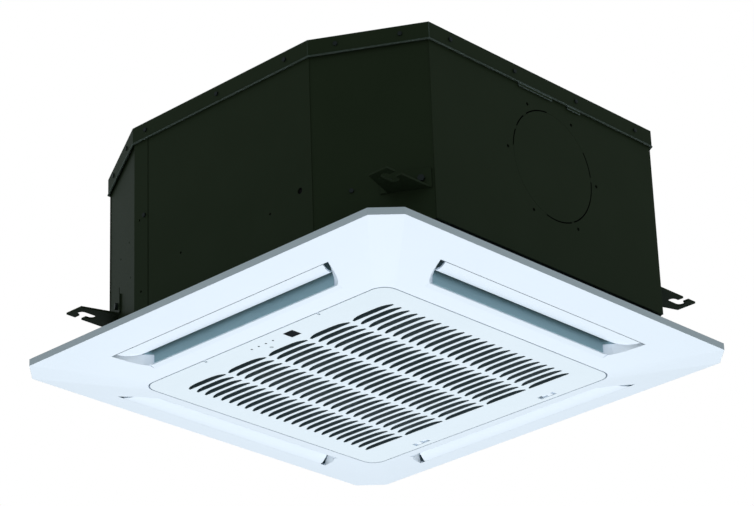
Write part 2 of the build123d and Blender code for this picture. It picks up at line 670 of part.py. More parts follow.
def latch_rails(side):
    """Two rails beside a catch, with lips at their ends that keep the runner down."""
    y = side * LATCH_Y
    rails = []
    for x in (LATCH_X - 7.2, LATCH_X + 5.2):
        rails.append(block(x, x + 2, y - 18, y + 18, FACE_Z + 1, BACK_Z + 3.5))
        for end in (-15.5, 15.5):
            rails.append(block(x - 2, x + 4, y + end - 2.5, y + end + 2.5, BACK_Z + 3.3, BACK_Z + 4.5))
    return rails


def lamp_places():
    return [LAMP_FIRST_Y + LAMP_PITCH * k for k in range(LAMP_COUNT)]


def latch(side):
    """A sliding catch: a thumb piece in the grille's window on a runner above the plate."""
    y = side * LATCH_Y + side * LATCH_TRAVEL / 2
    half = RUNNER_W / 2
    runner = block(LATCH_X - half, LATCH_X + half, y - 14, y + 14, BACK_Z + 0.1, BACK_Z + 3)
    thumb = block(LATCH_X - 3.7, LATCH_X + 3.7, y - 4, y + 4, FACE_Z + 0.4, BACK_Z + 1)
    tongue = block(LATCH_X + 1, LATCH_X + 8, y - 3, y + 3, BACK_Z + 3.7, BACK_Z + 5.9)
    post = block(LATCH_X + 1, LATCH_X + 5, y - 3, y + 3, BACK_Z + 1, BACK_Z + 5.9)
    return runner + thumb + post + tongue


def filter_frame():
    ring = ring_of(Rectangle(2 * FILTER_X, 2 * FILTER_Y), Rectangle(2 * FILTER_X - 16, 2 * FILTER_Y - 16),
                   FIELD_TOP, FIELD_TOP + FILTER_T)
    bar = block(-1.5, 1.5, 7.5 - FILTER_Y, FILTER_Y - 7.5, FIELD_TOP + 3, FIELD_TOP + FILTER_T)
    return ring + bar


def filter_net():
    """A flat net, drawn coarse: one sheet with a grid of holes."""
    half_x = FILTER_X - 8.3
    half_y = FILTER_Y - 8.3
    sheet = block(-half_x, half_x, -half_y, half_y, FIELD_TOP + 1.9, FIELD_TOP + 2.5)
    step_x = 2 * half_x / NET_CELLS
    step_y = 2 * half_y / NET_CELLS
    hole = Box(step_x - 2, step_y - 2, 4)
    middle = (NET_CELLS - 1) / 2
    return sheet - [Pos((i - middle) * step_x, (j - middle) * step_y, FIELD_TOP + 2) * hole
                    for i in range(NET_CELLS) for j in range(NET_CELLS)]


def display_box():
    """The housing behind the receiver, the lamps and the button."""
    x0 = DISPLAY_IN - GRILLE / 2
    x1 = BUTTON_X + 6
    top = BACK_Z + DISPLAY_H
    shell = block(x0, x1, -DISPLAY_HALF, DISPLAY_HALF, BACK_Z, top)
    return shell - block(x0 + 1.5, x1 - 1.5, 1.5 - DISPLAY_HALF, DISPLAY_HALF - 1.5, BACK_Z - 1, top - 1.5)


def receiver_window():
    r = RECEIVER / 2 - WINDOW_CLEAR
    window = block(RECEIVER_X - r, RECEIVER_X + r, RECEIVER_Y - r, RECEIVER_Y + r, FACE_Z + 0.3, BACK_Z)
    rim = r + 1.5
    return window + block(RECEIVER_X - rim, RECEIVER_X + rim, RECEIVER_Y - rim, RECEIVER_Y + rim,
                          BACK_Z, BACK_Z + 2)


def lamps():
    made = []
    for y in lamp_places():
        lens = rod(LAMP_R, (LAMP_X, y, FACE_Z + 0.2), (LAMP_X, y, BACK_Z))
        made.append(lens + rod(LAMP_R + 0.8, (LAMP_X, y, BACK_Z), (LAMP_X, y, BACK_Z + 8.9)))
    return made


def manual_button():
    tip = rod(BUTTON_R, (BUTTON_X, BUTTON_Y, FACE_Z + 0.4), (BUTTON_X, BUTTON_Y, BACK_Z + 3.8))
    return tip + rod(BUTTON_R + 1, (BUTTON_X, BUTTON_Y, BACK_Z + 0.1), (BUTTON_X, BUTTON_Y, BACK_Z + 1.2))


# ---------------------------------------------------------------- casing sheets, about the casing's centre
def top_cover():
    """Tray with a turned-down skirt, a hem along its lower edge and tabs on the -Y side."""
    tray = prism(case_outline(-SKIRT_OUT), SKIRT_Z, BODY_Z1)
    tray = tray + prism(case_outline(-SKIRT_OUT - HEM), SKIRT_Z, SKIRT_Z + HEM_H)
    tray = tray - prism(case_outline(SHEET - SKIRT_OUT), SKIRT_Z - 1, COVER_Z)
    outer = -BY - SKIRT_OUT
    for x0, x1 in TABS:
        tray = tray + block(x0, x1, outer, outer + SHEET, SKIRT_Z - TAB_DROP, SKIRT_Z + 1)
    return tray


def side_sheet_y(side):
    """The sheet on the -Y or +Y side."""
    edge = BX - CUT_X
    y0, y1 = sorted((side * (BY - SHEET), side * BY))
    return block(-edge, edge, y0, y1, BODY_Z0, COVER_Z)


def side_sheet_x(side):
    """The sheet on the -X or +X side; at one end it stops at the corner sheet's return."""
    x0, x1 = sorted((side * (BX - SHEET), side * BX))
    long_end = BY - CUT_Y
    y0, y1 = sorted((side * long_end, -side * (long_end - RETURN - SEAM)))
    return block(x0, x1, y0, y1, BODY_Z0, COVER_Z)


def knock_holes(radius):
    holes = []
    for k in range(KNOCK_HOLES):
        turn = 2 * math.pi * k / KNOCK_HOLES
        x = KNOCK_X + KNOCK_PCD / 2 * math.cos(turn)
        z = KNOCK_Z + KNOCK_PCD / 2 * math.sin(turn)
        holes.append(rod(radius, (x, -BY - 2, z), (x, 2 - BY, z)))
    return holes


def wall_front():
    cut = rod(KNOCK_R, (KNOCK_X, -BY - 2, KNOCK_Z), (KNOCK_X, 2 - BY, KNOCK_Z))
    return side_sheet_y(-1) - cut - knock_holes(KNOCK_HOLE_R)


def wall_left():
    return side_sheet_x(-1) - [rod(r, (-BX - 2, y, z), (2 - BX, y, z)) for y, z, r in WALL_HOLES]


def wall_right():
    y = DRAIN_Y - CASE_Y
    return side_sheet_x(1) - rod(DRAIN_R + 1, (BX - 4, y, DRAIN_Z), (BX + 2, y, DRAIN_Z))


def knockout_disc():
    return rod(KNOCK_R - FIT, (KNOCK_X, -BY, KNOCK_Z), (KNOCK_X, SHEET - BY, KNOCK_Z))


def corner_sheet():
    """The (+X, +Y) corner sheet: its two seam flanges lie behind the side sheets."""
    ring = prism(case_outline(SHEET) - case_outline(2 * SHEET), BODY_Z0, COVER_Z)
    return ring & block(BX - CUT_X - FLANGE, BX, BY - CUT_Y - FLANGE, BY, 0, BODY_Z1)


def wrapped_corner_sheet():
    """A corner sheet that also turns onto the X side, flush with the sheet there."""
    ring = prism(case_outline(SHEET) - case_outline(2 * SHEET), BODY_Z0, COVER_Z)
    bend = BY - CUT_Y
    shape = ring & block(BX - CUT_X - FLANGE, BX, bend - RETURN - FLANGE, BY, 0, BODY_Z1)
    return shape + block(BX - SHEET, BX, bend - RETURN, bend, BODY_Z0, COVER_Z)


def corner_sheets():
    """The (+X, +Y) sheet with the pipes' port, the (-X, -Y) one, and the two wrapped ones."""
    plain = corner_sheet()
    port = extrude(corner_plane(0, PORT_Z, -20) * Rectangle(PORT_W, PORT_H), amount=40)
    wrapped = wrapped_corner_sheet()
    bend = BY - CUT_Y
    far = mirror(wrapped, about=Plane.YZ)
    holes = [rod(SMALL_HOLE_R, (-BX - 2, bend - y, z), (2 * SHEET + 1 - BX, bend - y, z)) for y, z in RETURN_HOLES]
    cuts = [corner_rod(SMALL_HOLE_R, along, z, -4, 1) for along, z in CORNER_HOLES]
    cuts.append(extrude(corner_plane(*CORNER_SLOT, -4) * Rectangle(4, 12), amount=5))
    far = far - holes - [mirror(cut, about=Plane.YZ) for cut in cuts]
    return [plain - port, far, mirror(mirror(plain, about=Plane.YZ), about=Plane.XZ), mirror(wrapped, about=Plane.XZ)]


def hanger_bracket():
    """The (+X, +Y) hanger: a flange on the corner sheet and a plate with an open hook slot."""
    low, high = HANG_ALONG
    flange = extrude(corner_plane((low + high) / 2, HANG_Z + HANG_FLANGE_H / 2, -SHEET)
                     * Rectangle(high - low, HANG_FLANGE_H), amount=HANG_T)
    root_low = corner_plane(low + 9, 0, -SHEET).origin
    root_high = corner_plane(high - 2, 0, -SHEET).origin
    outline = polygon([(root_low.X, root_low.Y), (BX + HANG_OUT_X, HANG_Y - 14),
                       (BX + HANG_OUT_X, HANG_Y + HANG_EDGE_Y), (root_high.X, HANG_Y + HANG_EDGE_Y),
                       (root_high.X, root_high.Y)])
    plate = prism(outline, HANG_Z, HANG_Z + HANG_T)
    slot = Pos(HANG_X, HANG_Y) * SlotOverall(HANG_SLOT_L, 2 * HANG_SLOT_R)
    mouth = Pos(HANG_X + 1.5, HANG_Y + 10) * Rectangle(HANG_MOUTH, 20)
    return plate + flange - prism(slot, HANG_Z - 1, HANG_Z + 5) - prism(mouth, HANG_Z - 1, HANG_Z + 5)


def hexagon_head(plane, radius, height):
    return extrude(plane * RegularPolygon(radius, 6), amount=height)


def bracket_bolts():
    """Two hexagon heads on each hanger's flange."""
    made = []
    for along in HANG_BOLTS:
        made.extend(corners(hexagon_head(corner_plane(along, HANG_Z + 12, HANG_T - SHEET), 4.5, 3.5)))
    return made


def cover_screws():
    """Small heads round the cover's skirt and on two of the corner sheets."""
    z = BODY_Z1 - 11
    out = SKIRT_OUT
    step = (BX - CUT_X - 34) / 1.5
    made = []
    for k in range(4):
        head = hexagon_head(Plane(origin=(1.5 + (k - 1.5) * step, -BY - out, z), z_dir=(0, -1, 0)), SCREW_R, SCREW_H)
        made.extend([head, mirror(head, about=Plane.XZ)])
    for y in (7.5 - (BY - CUT_Y - 31), 1.8, 7.5 + (BY - CUT_Y - 31)):
        head = hexagon_head(Plane(origin=(-BX - out, y, z), z_dir=(-1, 0, 0)), SCREW_R, SCREW_H)
        made.extend([head, mirror(head, about=Plane.YZ)])
    for along in (-40, 40):
        made.extend(corners(hexagon_head(corner_plane(along, z, out), SCREW_R, SCREW_H)))
    near = hexagon_head(corner_plane(-26.7, HANG_Z + 10, -SHEET), SCREW_R, SCREW_H)
    made.append(mirror(mirror(near, about=Plane.YZ), about=Plane.XZ))
    made.append(hexagon_head(Plane(origin=(-BX, BY - CUT_Y - 18.5, 155), z_dir=(-1, 0, 0)), SCREW_R, SCREW_H))
    return made


def pipe_height(index):
    return COVER_Z - PIPES[index][1]


def pipe_plate():
    outline = RectangleRounded(PORT_W + 2 * PORT_LAP, PORT_H + 2 * PORT_LAP, 6)
    plate = extrude(corner_plane(0, PORT_Z, -SHEET) * outline, amount=1.5)
    for index, (along, drop, radius, start) in enumerate(PIPES):
        plate = plate - corner_rod(radius + 1, along, pipe_height(index), -10, 10)
    return plate


def pipe(index):
    """A copper stub from the coil's header out through the plate, with its bore."""
    along, drop, radius, start = PIPES[index]
    z = pipe_height(index)
    outer = corner_rod(radius, along, z, start, PIPE_END)
    return outer - corner_rod(radius - PIPE_WALL, along, z, start + 12, PIPE_END + 1)


def flare_nut(index):
    """A hexagon nut on the stub's end: a seat, then a mouth for the field pipe of the same size."""
    along, drop, radius, start = PIPES[index]
    z = pipe_height(index)
    end = PIPE_END + NUT_SEAT + NUT_MOUTH
    nut = extrude(corner_plane(along, z, PIPE_END - NUT_GRIP) * RegularPolygon(radius + NUT_WALL, 6),
                  amount=end + NUT_GRIP - PIPE_END)
    nut = nut - corner_rod(radius, along, z, PIPE_END - NUT_GRIP - 1, PIPE_END)
    nut = nut - corner_rod(radius - PIPE_WALL, along, z, PIPE_END - 1, end)
    return nut - corner_rod(radius + PIPE_CLEAR, along, z, PIPE_END + NUT_SEAT, end + 1)


def wall_insulation():
    """Foam slabs on the sheets, mitred at their ends, with room for the pipes and the drain."""
    outer = octagon_points(*case_corner(2 * SHEET)[0], *case_corner(2 * SHEET)[1])
    inner = octagon_points(*case_corner(2 * SHEET + LINER)[0], *case_corner(2 * SHEET + LINER)[1])
    slabs = []
    for k in range(8):
        n = (k + 1) % 8
        slabs.append(prism(polygon([outer[k], outer[n], inner[n], inner[k]]), BODY_Z0, COVER_Z - TOP_LINER))
    slabs[0] = slabs[0] - extrude(corner_plane(0, PORT_Z, -30) * Rectangle(PORT_W, PORT_H), amount=60)
    y = DRAIN_Y - CASE_Y
    slabs[7] = slabs[7] - rod(DRAIN_R + 1, (BX - 14, y, DRAIN_Z), (BX + 2, y, DRAIN_Z))
    return slabs


# ---------------------------------------------------------------- inside the casing
def top_insulation():
    slab = cased(prism(case_outline(2 * SHEET), COVER_Z - TOP_LINER, COVER_Z))
    return slab - Pos(0, 0, COVER_Z) * Cylinder(MOTOR_R + 30, 2 * TOP_LINER + 2)


def pan_ducts():
    """The pan's four duct holes, from the ducts' inner walls out to the pan's rim."""
    inset = 2 * SHEET + LINER + FIT + PAN_RIM
    reaches = (BY - inset - CASE_Y, BX - inset - CASE_X, BY - inset + CASE_Y, BX - inset + CASE_X)
    top = BODY_Z0 + PAN_H + 1
    return [Rot(0, 0, -90 * k) * block(-DUCT_HALF_IN, DUCT_HALF_IN, -reach, -DUCT_IN, BODY_Z0 - 1, top)
            for k, reach in enumerate(reaches)]


def drain_pan():
    """Foam tray under the coil: a square trough, four duct holes and a round middle."""
    top = BODY_Z0 + PAN_H
    body = cased(prism(case_outline(2 * SHEET + LINER + FIT), BODY_Z0, top))
    outer = rounded(2 * TROUGH_OUT, COIL_R + TROUGH_OUT - COIL_OUT)
    inner = rounded(2 * TROUGH_IN, COIL_R + TROUGH_IN - COIL_OUT)
    body = body - prism(outer - inner, FLOOR_Z, top + 1) - Pos(0, 0, BODY_Z0) * Cylinder(PAN_HOLE_R, 3 * PAN_H)
    body = body - pan_ducts()
    for x in (-FOOT_STEP, 0, FOOT_STEP):
        foot = block(x - 5, x + 5, -TROUGH_OUT, -TROUGH_IN, FLOOR_Z, COIL_Z)
        body = body + turned(foot)
    return body - [Pos(x, y, BODY_Z0) * Cylinder(BOLT_R, 2 * PAN_FLOOR) for x, y in panel_bolt_places()]


def bell_mouth():
    """Round intake throat: a trumpet turned about the fan's axis, with a flat flange."""
    air = quarter(MOUTH_R, MOUTH_TOP, MOUTH_IN_R, MOUTH_Z)
    back = quarter(MOUTH_R + MOUTH_T, MOUTH_TOP, MOUTH_IN_R + 3, BODY_Z0)
    edge = [(MOUTH_OUT_R, MOUTH_Z), (MOUTH_OUT_R, BODY_Z0)]
    return revolve(Plane.XZ * polygon(air + edge + back[::-1]), axis=Axis.Z)


def coil_path(inset):
    return rounded(2 * (COIL_OUT - inset), COIL_R - inset)


def coil_fins():
    ring = prism(coil_path(0) - coil_path(COIL_T), COIL_Z, COIL_Z + COIL_H)
    return ring - block(COIL_END, BY, COIL_END, BY, 0, BODY_Z1)


def across(shape):
    """The same piece at the coil's other end, mirrored about the diagonal."""
    return mirror(shape, about=Plane(origin=(0, 0, 0), z_dir=(1, -1, 0)))


def tube_sheets():
    first = block(COIL_OUT - COIL_T - 2, COIL_OUT + 2, COIL_END, COIL_END + 1.5, COIL_Z, COIL_Z + COIL_H)
    return [first, across(first)]


def return_bends():
    """U-shaped copper tubes, bent in flats, that join the coil's tubes at its two ends."""
    start = COIL_END + 1.5
    made = []
    for k in range(BEND_COUNT):
        z = COIL_Z + BEND_END + k * BEND_PITCH
        points = [(COIL_MID, start, z - BEND_R), (COIL_MID, start + BEND_R * 0.6, z - BEND_R),
                  (COIL_MID, start + BEND_R, z - BEND_R * 0.5), (COIL_MID, start + BEND_R, z + BEND_R * 0.5),
                  (COIL_MID, start + BEND_R * 0.6, z + BEND_R), (COIL_MID, start, z + BEND_R)]
        section = Plane(origin=points[0], z_dir=(0, 1, 0)) * Circle(BEND_TUBE_R)
        bend = sweep(section, path=Polyline(*points), transition=Transition.RIGHT)
        made.extend([bend, across(bend)])
    return made


def header_place(index):
    """Where a header stands: on the line of its pipe stub, near the coil's end."""
    along, drop, radius, start = PIPES[index]
    origin = corner_plane(along, 0, start).origin
    return origin.X + CASE_X, origin.Y + CASE_Y


def coil_headers():
    """Two upright tubes that join the coil's circuits to the pipe stubs, with small branch tubes."""
    made = []
    face = COIL_END + 1.5
    low = COVER_Z - TOP_LINER - COIL_CLEAR - 164
    for index, radius, high in ((0, 8, pipe_height(0) + 24), (1, 5, pipe_height(1) + 25)):
        x, y = header_place(index)
        tube = rod(radius, (x, y, low), (x, y, high))
        for up in (8, 50, 84):
            z = low + up
            if index == 0:
                side = COIL_OUT - COIL_T + 3.5
                route = Polyline((face, side, z), (face + 12, side, z), (x, y, z))
                section = Plane(origin=(face, side, z), z_dir=(1, 0, 0)) * Circle(BRANCH_R)
                tube = tube + sweep(section, path=route, transition=Transition.RIGHT)
            else:
                tube = tube + rod(BRANCH_R, (x - 1.5, face, z), (x - 1.5, y, z))
        along, drop, bore, start = PIPES[index]
        made.append(tube - cased(corner_rod(bore, along, pipe_height(index), start, start + 95)))
    return made


def fan_impeller():
    """Turbo fan: hub plate with a dome for the motor, backward-curved blades and a shroud."""
    low = FAN_TOP - FAN_WALL
    dome_low = FAN_TOP - HUB_DROP
    hub = polygon([(SHAFT_R, dome_low - FAN_WALL), (HUB_DOME_R - 8, dome_low - FAN_WALL),
                   (HUB_DOME_R + 6, low), (FAN_R, low), (FAN_R, FAN_TOP), (HUB_DOME_R + 3, FAN_TOP),
                   (HUB_DOME_R - 10, dome_low), (SHAFT_R, dome_low)])
    plate = revolve(Plane.XZ * hub, axis=Axis.Z)
    boss = prism(Circle(HUB_BOSS_R) - Circle(SHAFT_R), HUB_LOW, dome_low - FAN_WALL)
    under = quarter(FAN_EYE, FAN_LOW, FAN_R, FAN_LOW + SHROUD_H)
    over = quarter(FAN_EYE - FAN_WALL, FAN_LOW, FAN_R, FAN_LOW + SHROUD_H + FAN_WALL)
    ring = revolve(Plane.XZ * polygon(under + over[::-1]), axis=Axis.Z)
    middle = quarter(FAN_EYE - FAN_WALL / 2, FAN_LOW, FAN_R - 0.5, FAN_LOW + SHROUD_H + FAN_WALL / 2)
    root_r = FAN_R - BLADE_ROOT_IN
    room = polygon(middle + [(FAN_R - 0.5, low + 1), (root_r - 8, low + 1), (FAN_EYE - FAN_WALL / 2, low - 20)])
    between = revolve(Plane.XZ * room, axis=Axis.Z)
    lean = math.radians(BLADE_LEAN)
    tip = (FAN_R - 1, 0)
    root = (root_r * math.cos(lean), root_r * math.sin(lean))
    mid = ((tip[0] + root[0]) / 2, (tip[1] + root[1]) / 2)
    hollow = ThreePointArc(tip, (mid[0] + 5, mid[1] + 5), root)
    full = ThreePointArc(root, (mid[0] + 5 + BLADE_T, mid[1] + 5 + BLADE_T * 0.8), tip)
    blade = prism(make_face([hollow, full]), FAN_LOW, FAN_TOP) & between
    return plate + boss + ring + [Rot(0, 0, k * 360 / BLADES) * blade for k in range(BLADES)]


def motor_shaft():
    return rod(SHAFT_R, (0, 0, HUB_LOW - 12), (0, 0, MOTOR_LOW + 10))


def fan_nut():
    return prism(RegularPolygon(10, 6) - Circle(SHAFT_R), HUB_LOW - 8, HUB_LOW)


def fan_motor():
    can = Pos(0, 0, MOTOR_LOW) * Cylinder(MOTOR_R, MOTOR_H, align=ON_BASE)
    neck = Pos(0, 0, MOTOR_LOW - 6) * Cylinder(14, 7, align=ON_BASE)
    bore = Pos(0, 0, MOTOR_LOW - 7) * Cylinder(SHAFT_R + SHAFT_CLEAR, 18, align=ON_BASE)
    feet = [Rot(0, 0, 120 * k) * block(MOTOR_R - 4, MOTOR_R + FOOT_OUT, -9, 9, FOOT_Z, FOOT_Z + FOOT_T)
            for k in range(3)]
    return can + neck + feet - bore


def motor_plate():
    """The stiff plate under the cover that carries the motor."""
    plate = Circle(MOTOR_R + 28) - Circle(MOTOR_R - 22)
    return prism(plate, COVER_Z - MOTOR_PLATE_T, COVER_Z)


def motor_mounts():
    """Rubber cones between the motor's feet and the plate under the cover."""
    low = FOOT_Z + FOOT_T
    height = COVER_Z - MOTOR_PLATE_T - low
    cone = Pos(MOTOR_R + 12, 0, low + height / 2) * Cone(MOUNT_R, MOUNT_R - 2, height)
    return [Rot(0, 0, 120 * k) * cone for k in range(3)]


def drain_pump():
    neck_z = BODY_Z0 + PAN_H + 1.5
    base = prism(Pos(PUMP_AT, PUMP_AT) * Circle(PUMP_FOOT_R), FLOOR_Z + PUMP_UP, neck_z)
    head = prism(Pos(PUMP_AT, PUMP_AT) * Circle(PUMP_R), neck_z, PUMP_TOP)
    z = PUMP_TOP - SPOUT_DOWN
    return base + head + rod(SPOUT_R, (PUMP_AT, PUMP_AT, z), (PUMP_AT + SPOUT_X, PUMP_AT - SPOUT_Y, z))


def drain_hose():
    """Soft tube from the pump's spout, up beside the coil and out to the drain outlet."""
    z = PUMP_TOP - SPOUT_DOWN
    start = Vector(PUMP_AT + SPOUT_X, PUMP_AT - SPOUT_Y, z)
    onward = start - Vector(PUMP_AT, PUMP_AT, z)
    rise = start + onward * 0.62
    route = FilletPolyline(start, rise, (rise.X, rise.Y, DRAIN_Z), (WALL_X - 32, DRAIN_Y, DRAIN_Z),
                           (WALL_X - 14, DRAIN_Y, DRAIN_Z), radius=8)
    return sweep(Plane(origin=start, z_dir=onward) * Circle(SPOUT_R), path=route)


def drain_outlet():
    spout = rod(DRAIN_R, (WALL_X - 14, DRAIN_Y, DRAIN_Z), (WALL_X + DRAIN_OUT, DRAIN_Y, DRAIN_Z))
    collar = rod(DRAIN_R + 4, (WALL_X, DRAIN_Y, DRAIN_Z), (WALL_X + 2, DRAIN_Y, DRAIN_Z))
    bore = rod(DRAIN_BORE, (WALL_X - 9, DRAIN_Y, DRAIN_Z), (WALL_X + DRAIN_OUT + 1, DRAIN_Y, DRAIN_Z))
    return spout + collar - bore


def float_switch():
    """A stem that hangs in the trough from a small bridge on the pan's top."""
    x, y = FLOAT_AT
    low = FLOOR_Z + 1
    top = BODY_Z0 + PAN_H
    stem = rod(STEM_R, (x, y, low), (x, y, top))
    stop = rod(STEM_R + 2, (x, y, low), (x, y, low + 2))
    return stem + stop + block(x - 9.5, x + 9.5, y - 34, y + 8, top, top + 3)


def float_ring():
    low = FLOOR_Z + 3.3
    return Pos(*FLOAT_AT, 0) * prism(Circle(FLOAT_R) - Circle(STEM_R + 1.5 * PIN_CLEAR), low, low + FLOAT_H)


# ---------------------------------------------------------------- electrical box
def control_box():
    outer = block(BOX_X0, BOX_X1, -BOX_HALF, BOX_HALF, BOX_Z0 + BOX_T, MOUTH_Z)
    return outer - block(BOX_X0 + BOX_T, BOX_X1 - BOX_T, BOX_T - BOX_HALF, BOX_HALF - BOX_T, BOX_Z0, MOUTH_Z - BOX_T)


def control_lid():
    return block(BOX_X0, BOX_X1, -BOX_HALF, BOX_HALF, BOX_Z0, BOX_Z0 + BOX_T)


def main_board():
    top = MOUTH_Z - BOX_T
    board = block(BOX_X0 + 4, BOX_X1 - 4, 7 - BOX_HALF, 20, top - 7.6, top - 6)
    posts = [rod(2, (x, y, top - 6), (x, y, top)) for x in (BOX_X0 + 8, BOX_X1 - 8) for y in (13 - BOX_HALF, 14)]
    return board + posts


def terminal_block():
    top = MOUTH_Z - BOX_T
    body = block(BOX_X0 + 6, BOX_X1 - 8, 60, 86, top - 14, top)
    return body - [block(BOX_X0 + x, BOX_X0 + x + 6, 66, 80, top - 15, top - 8) for x in range(9, 46, 9)]


def capacitor():
    top = MOUTH_Z - BOX_T
    return block(BOX_X0 + 6, BOX_X0 + 30, 28, 52, top - 22, top)


def transformer():
    top = MOUTH_Z - BOX_T
    return block(BOX_X1 - 24, BOX_X1 - 4, 26, 54, top - 20, top)


def room_sensor():
    x = BOX_X1 + 5
    clip = block(BOX_X1, x + 3, -8, 8, MOUTH_Z - 4, MOUTH_Z)
    return clip + rod(2.5, (x, -14, MOUTH_Z - 6), (x, 14, MOUTH_Z - 6)) + block(x - 1.5, x + 1.5, -8, 8,
                                                                               MOUTH_Z - 6.5, MOUTH_Z - 3.5)


def coil_sensor():
    """A small tube clipped against the outside of a return bend."""
    y = COIL_END + 1.5 + BEND_R + BEND_TUBE_R + 3.05
    z = COIL_Z + BEND_END + BEND_PITCH
    return rod(3, (COIL_MID, y, z - 12), (COIL_MID, y, z + 12))


LOUVER_NAMES = ["louver_front", "louver_left", "louver_rear", "louver_right"]


def build_all():
    hollow = panel_hollow()
    nodes = {
        "panel_frame": panel_frame(hollow),
        "air_guides": turned(air_guide(hollow)),
        "louver_motors": turned(louver_motor()),
        "panel_gasket": panel_gasket(),
        "panel_bolts": panel_bolts(),
        "hinge_pins": hinge_pins(),
        "intake_grille": intake_grille(),
        "grille_latch_left": latch(-1),
        "grille_latch_right": latch(1),
        "filter_frame": filter_frame(),
        "filter_net": filter_net(),
        "display_box": display_box(),
        "receiver_window": receiver_window(),
        "indicator_lamps": lamps(),
        "manual_button": manual_button(),
        "top_cover": cased(top_cover()),
        "wall_front": cased(wall_front()),
        "wall_rear": cased(side_sheet_y(1)),
        "wall_left": cased(wall_left()),
        "wall_right": cased(wall_right()),
        "corner_sheets": cased(corner_sheets()),
        "knockout_disc": cased(knockout_disc()),
        "hanger_brackets": cased(corners(hanger_bracket())),
        "bracket_bolts": cased(bracket_bolts()),
        "cover_screws": cased(cover_screws()),
        "pipe_plate": cased(pipe_plate()),
        "gas_pipe": cased(pipe(0)),
        "liquid_pipe": cased(pipe(1)),
        "flare_nuts": cased([flare_nut(0), flare_nut(1)]),
        "wall_insulation": cased(wall_insulation()),
        "coil_headers": coil_headers(),
        "top_insulation": top_insulation(),
        "drain_pan": drain_pan(),
        "bell_mouth": bell_mouth(),
        "coil_fins": coil_fins(),
        "coil_tube_sheets": tube_sheets(),
        "coil_return_bends": return_bends(),
        "fan_impeller": fan_impeller(),
        "motor_shaft": motor_shaft(),
        "fan_nut": fan_nut(),
        "fan_motor": fan_motor(),
        "motor_plate": motor_plate(),
        "motor_mounts": motor_mounts(),
        "drain_pump": drain_pump(),
        "drain_hose": drain_hose(),
        "drain_outlet": drain_outlet(),
        "float_switch": float_switch(),
        "float_ring": float_ring(),
        "control_box": control_box(),
        "control_lid": control_lid(),
        "main_board": main_board(),
        "terminal_block": terminal_block(),
        "capacitor": capacitor(),
        "transformer": transformer(),
        "room_sensor": room_sensor(),
        "coil_sensor": coil_sensor(),
    }
    for name, blade in zip(LOUVER_NAMES, turned(louver())):
        nodes[name] = blade
    return nodes


def write_all():
    os.makedirs("parts", exist_ok=True)
    for name, shape in build_all().items():
        solids = shape if isinstance(shape, list) else [shape]
        loose = [s for piece in solids for s in piece.solids()]
        made = loose[0] if len(loose) == 1 else Compound(children=loose)
        export_step(made, f"parts/{name}.step")
        print(name, len(loose))


write_all()
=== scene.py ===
# %% [markdown]
# # A ceiling cassette air conditioner, seen from below
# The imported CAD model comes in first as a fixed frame: every steel sheet, moulding and joint already has its
# size and place.  This script gives each piece its finish, makes the pieces that a CAD solid can only hint at
# (fins, net, foam, rubber, hose), and sets the light and the camera.

# %% Load the frame
import json
import bmesh
import bpy
import numpy as np
from mathutils import Matrix, Vector


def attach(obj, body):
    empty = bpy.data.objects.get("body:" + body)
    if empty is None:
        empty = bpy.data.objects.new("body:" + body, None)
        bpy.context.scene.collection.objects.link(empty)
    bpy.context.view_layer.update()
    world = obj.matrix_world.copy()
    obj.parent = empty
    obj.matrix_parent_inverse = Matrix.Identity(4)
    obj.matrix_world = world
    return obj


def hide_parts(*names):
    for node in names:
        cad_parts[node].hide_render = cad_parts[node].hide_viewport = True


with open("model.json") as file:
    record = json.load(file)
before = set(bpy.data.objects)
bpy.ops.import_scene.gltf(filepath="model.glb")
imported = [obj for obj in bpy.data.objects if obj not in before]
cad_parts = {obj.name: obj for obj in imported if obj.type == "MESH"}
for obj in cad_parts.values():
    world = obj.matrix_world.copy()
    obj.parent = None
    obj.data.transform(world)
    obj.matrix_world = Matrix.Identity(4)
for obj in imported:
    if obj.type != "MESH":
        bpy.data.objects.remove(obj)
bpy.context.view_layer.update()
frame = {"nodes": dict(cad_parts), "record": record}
nodes = frame["nodes"]

# %% [markdown]
# ## Camera
# The photograph was taken from below one corner with a long lens, which keeps the far edges of the panel
# almost parallel to the near ones.  The camera's place was solved beforehand from the corners of the panel
# and of the casing, so it is one matrix of plain numbers.  The focal length is in pixels of the photograph.

# %% Camera
PHOTO_WIDTH = 754
FOCAL_PIXELS = 2886.15
SENSOR_MM = 36.0
SEES_TO_M = 60.0
CAMERA_ROWS = (
    (0.69145660, -0.28269364, -0.66480981, -2.45994883),
    (-0.72162663, -0.31334427, -0.61730897, -2.28976886),
    (-0.03380503, 0.90658683, -0.42066322, -1.41247759),
    (0.00000000, 0.00000000, 0.00000000, 1.00000000),
)

lens = bpy.data.cameras.new("camera")
lens.sensor_width = SENSOR_MM
lens.lens = FOCAL_PIXELS * SENSOR_MM / PHOTO_WIDTH
lens.clip_end = SEES_TO_M
camera = bpy.data.objects.new("camera", lens)
camera.matrix_world = Matrix(CAMERA_ROWS)
bpy.context.scene.collection.objects.link(camera)
bpy.context.scene.camera = camera
print("camera at", tuple(round(v, 3) for v in camera.location), "lens", round(lens.lens, 1), "mm")

# %% [markdown]
# ## Colours and nodes
# A screen colour is written as an sRGB hex code, but light adds up in linear numbers, so one function turns
# one into the other.  A second small function adds a shader node with its settings and its links, which keeps
# every material below to a few readable lines.

# %% Two helpers
MM = 0.001


def linear(code):
    """Linear RGBA of a hex code: c / 12.92 up to 0.04045, above it ((c + 0.055) / 1.055) to the power 2.4."""
    c = np.array([int(code[i:i + 2], 16) for i in (1, 3, 5)]) / 255
    return (*np.where(c <= 0.04045, c / 12.92, ((c + 0.055) / 1.055) ** 2.4), 1.0)


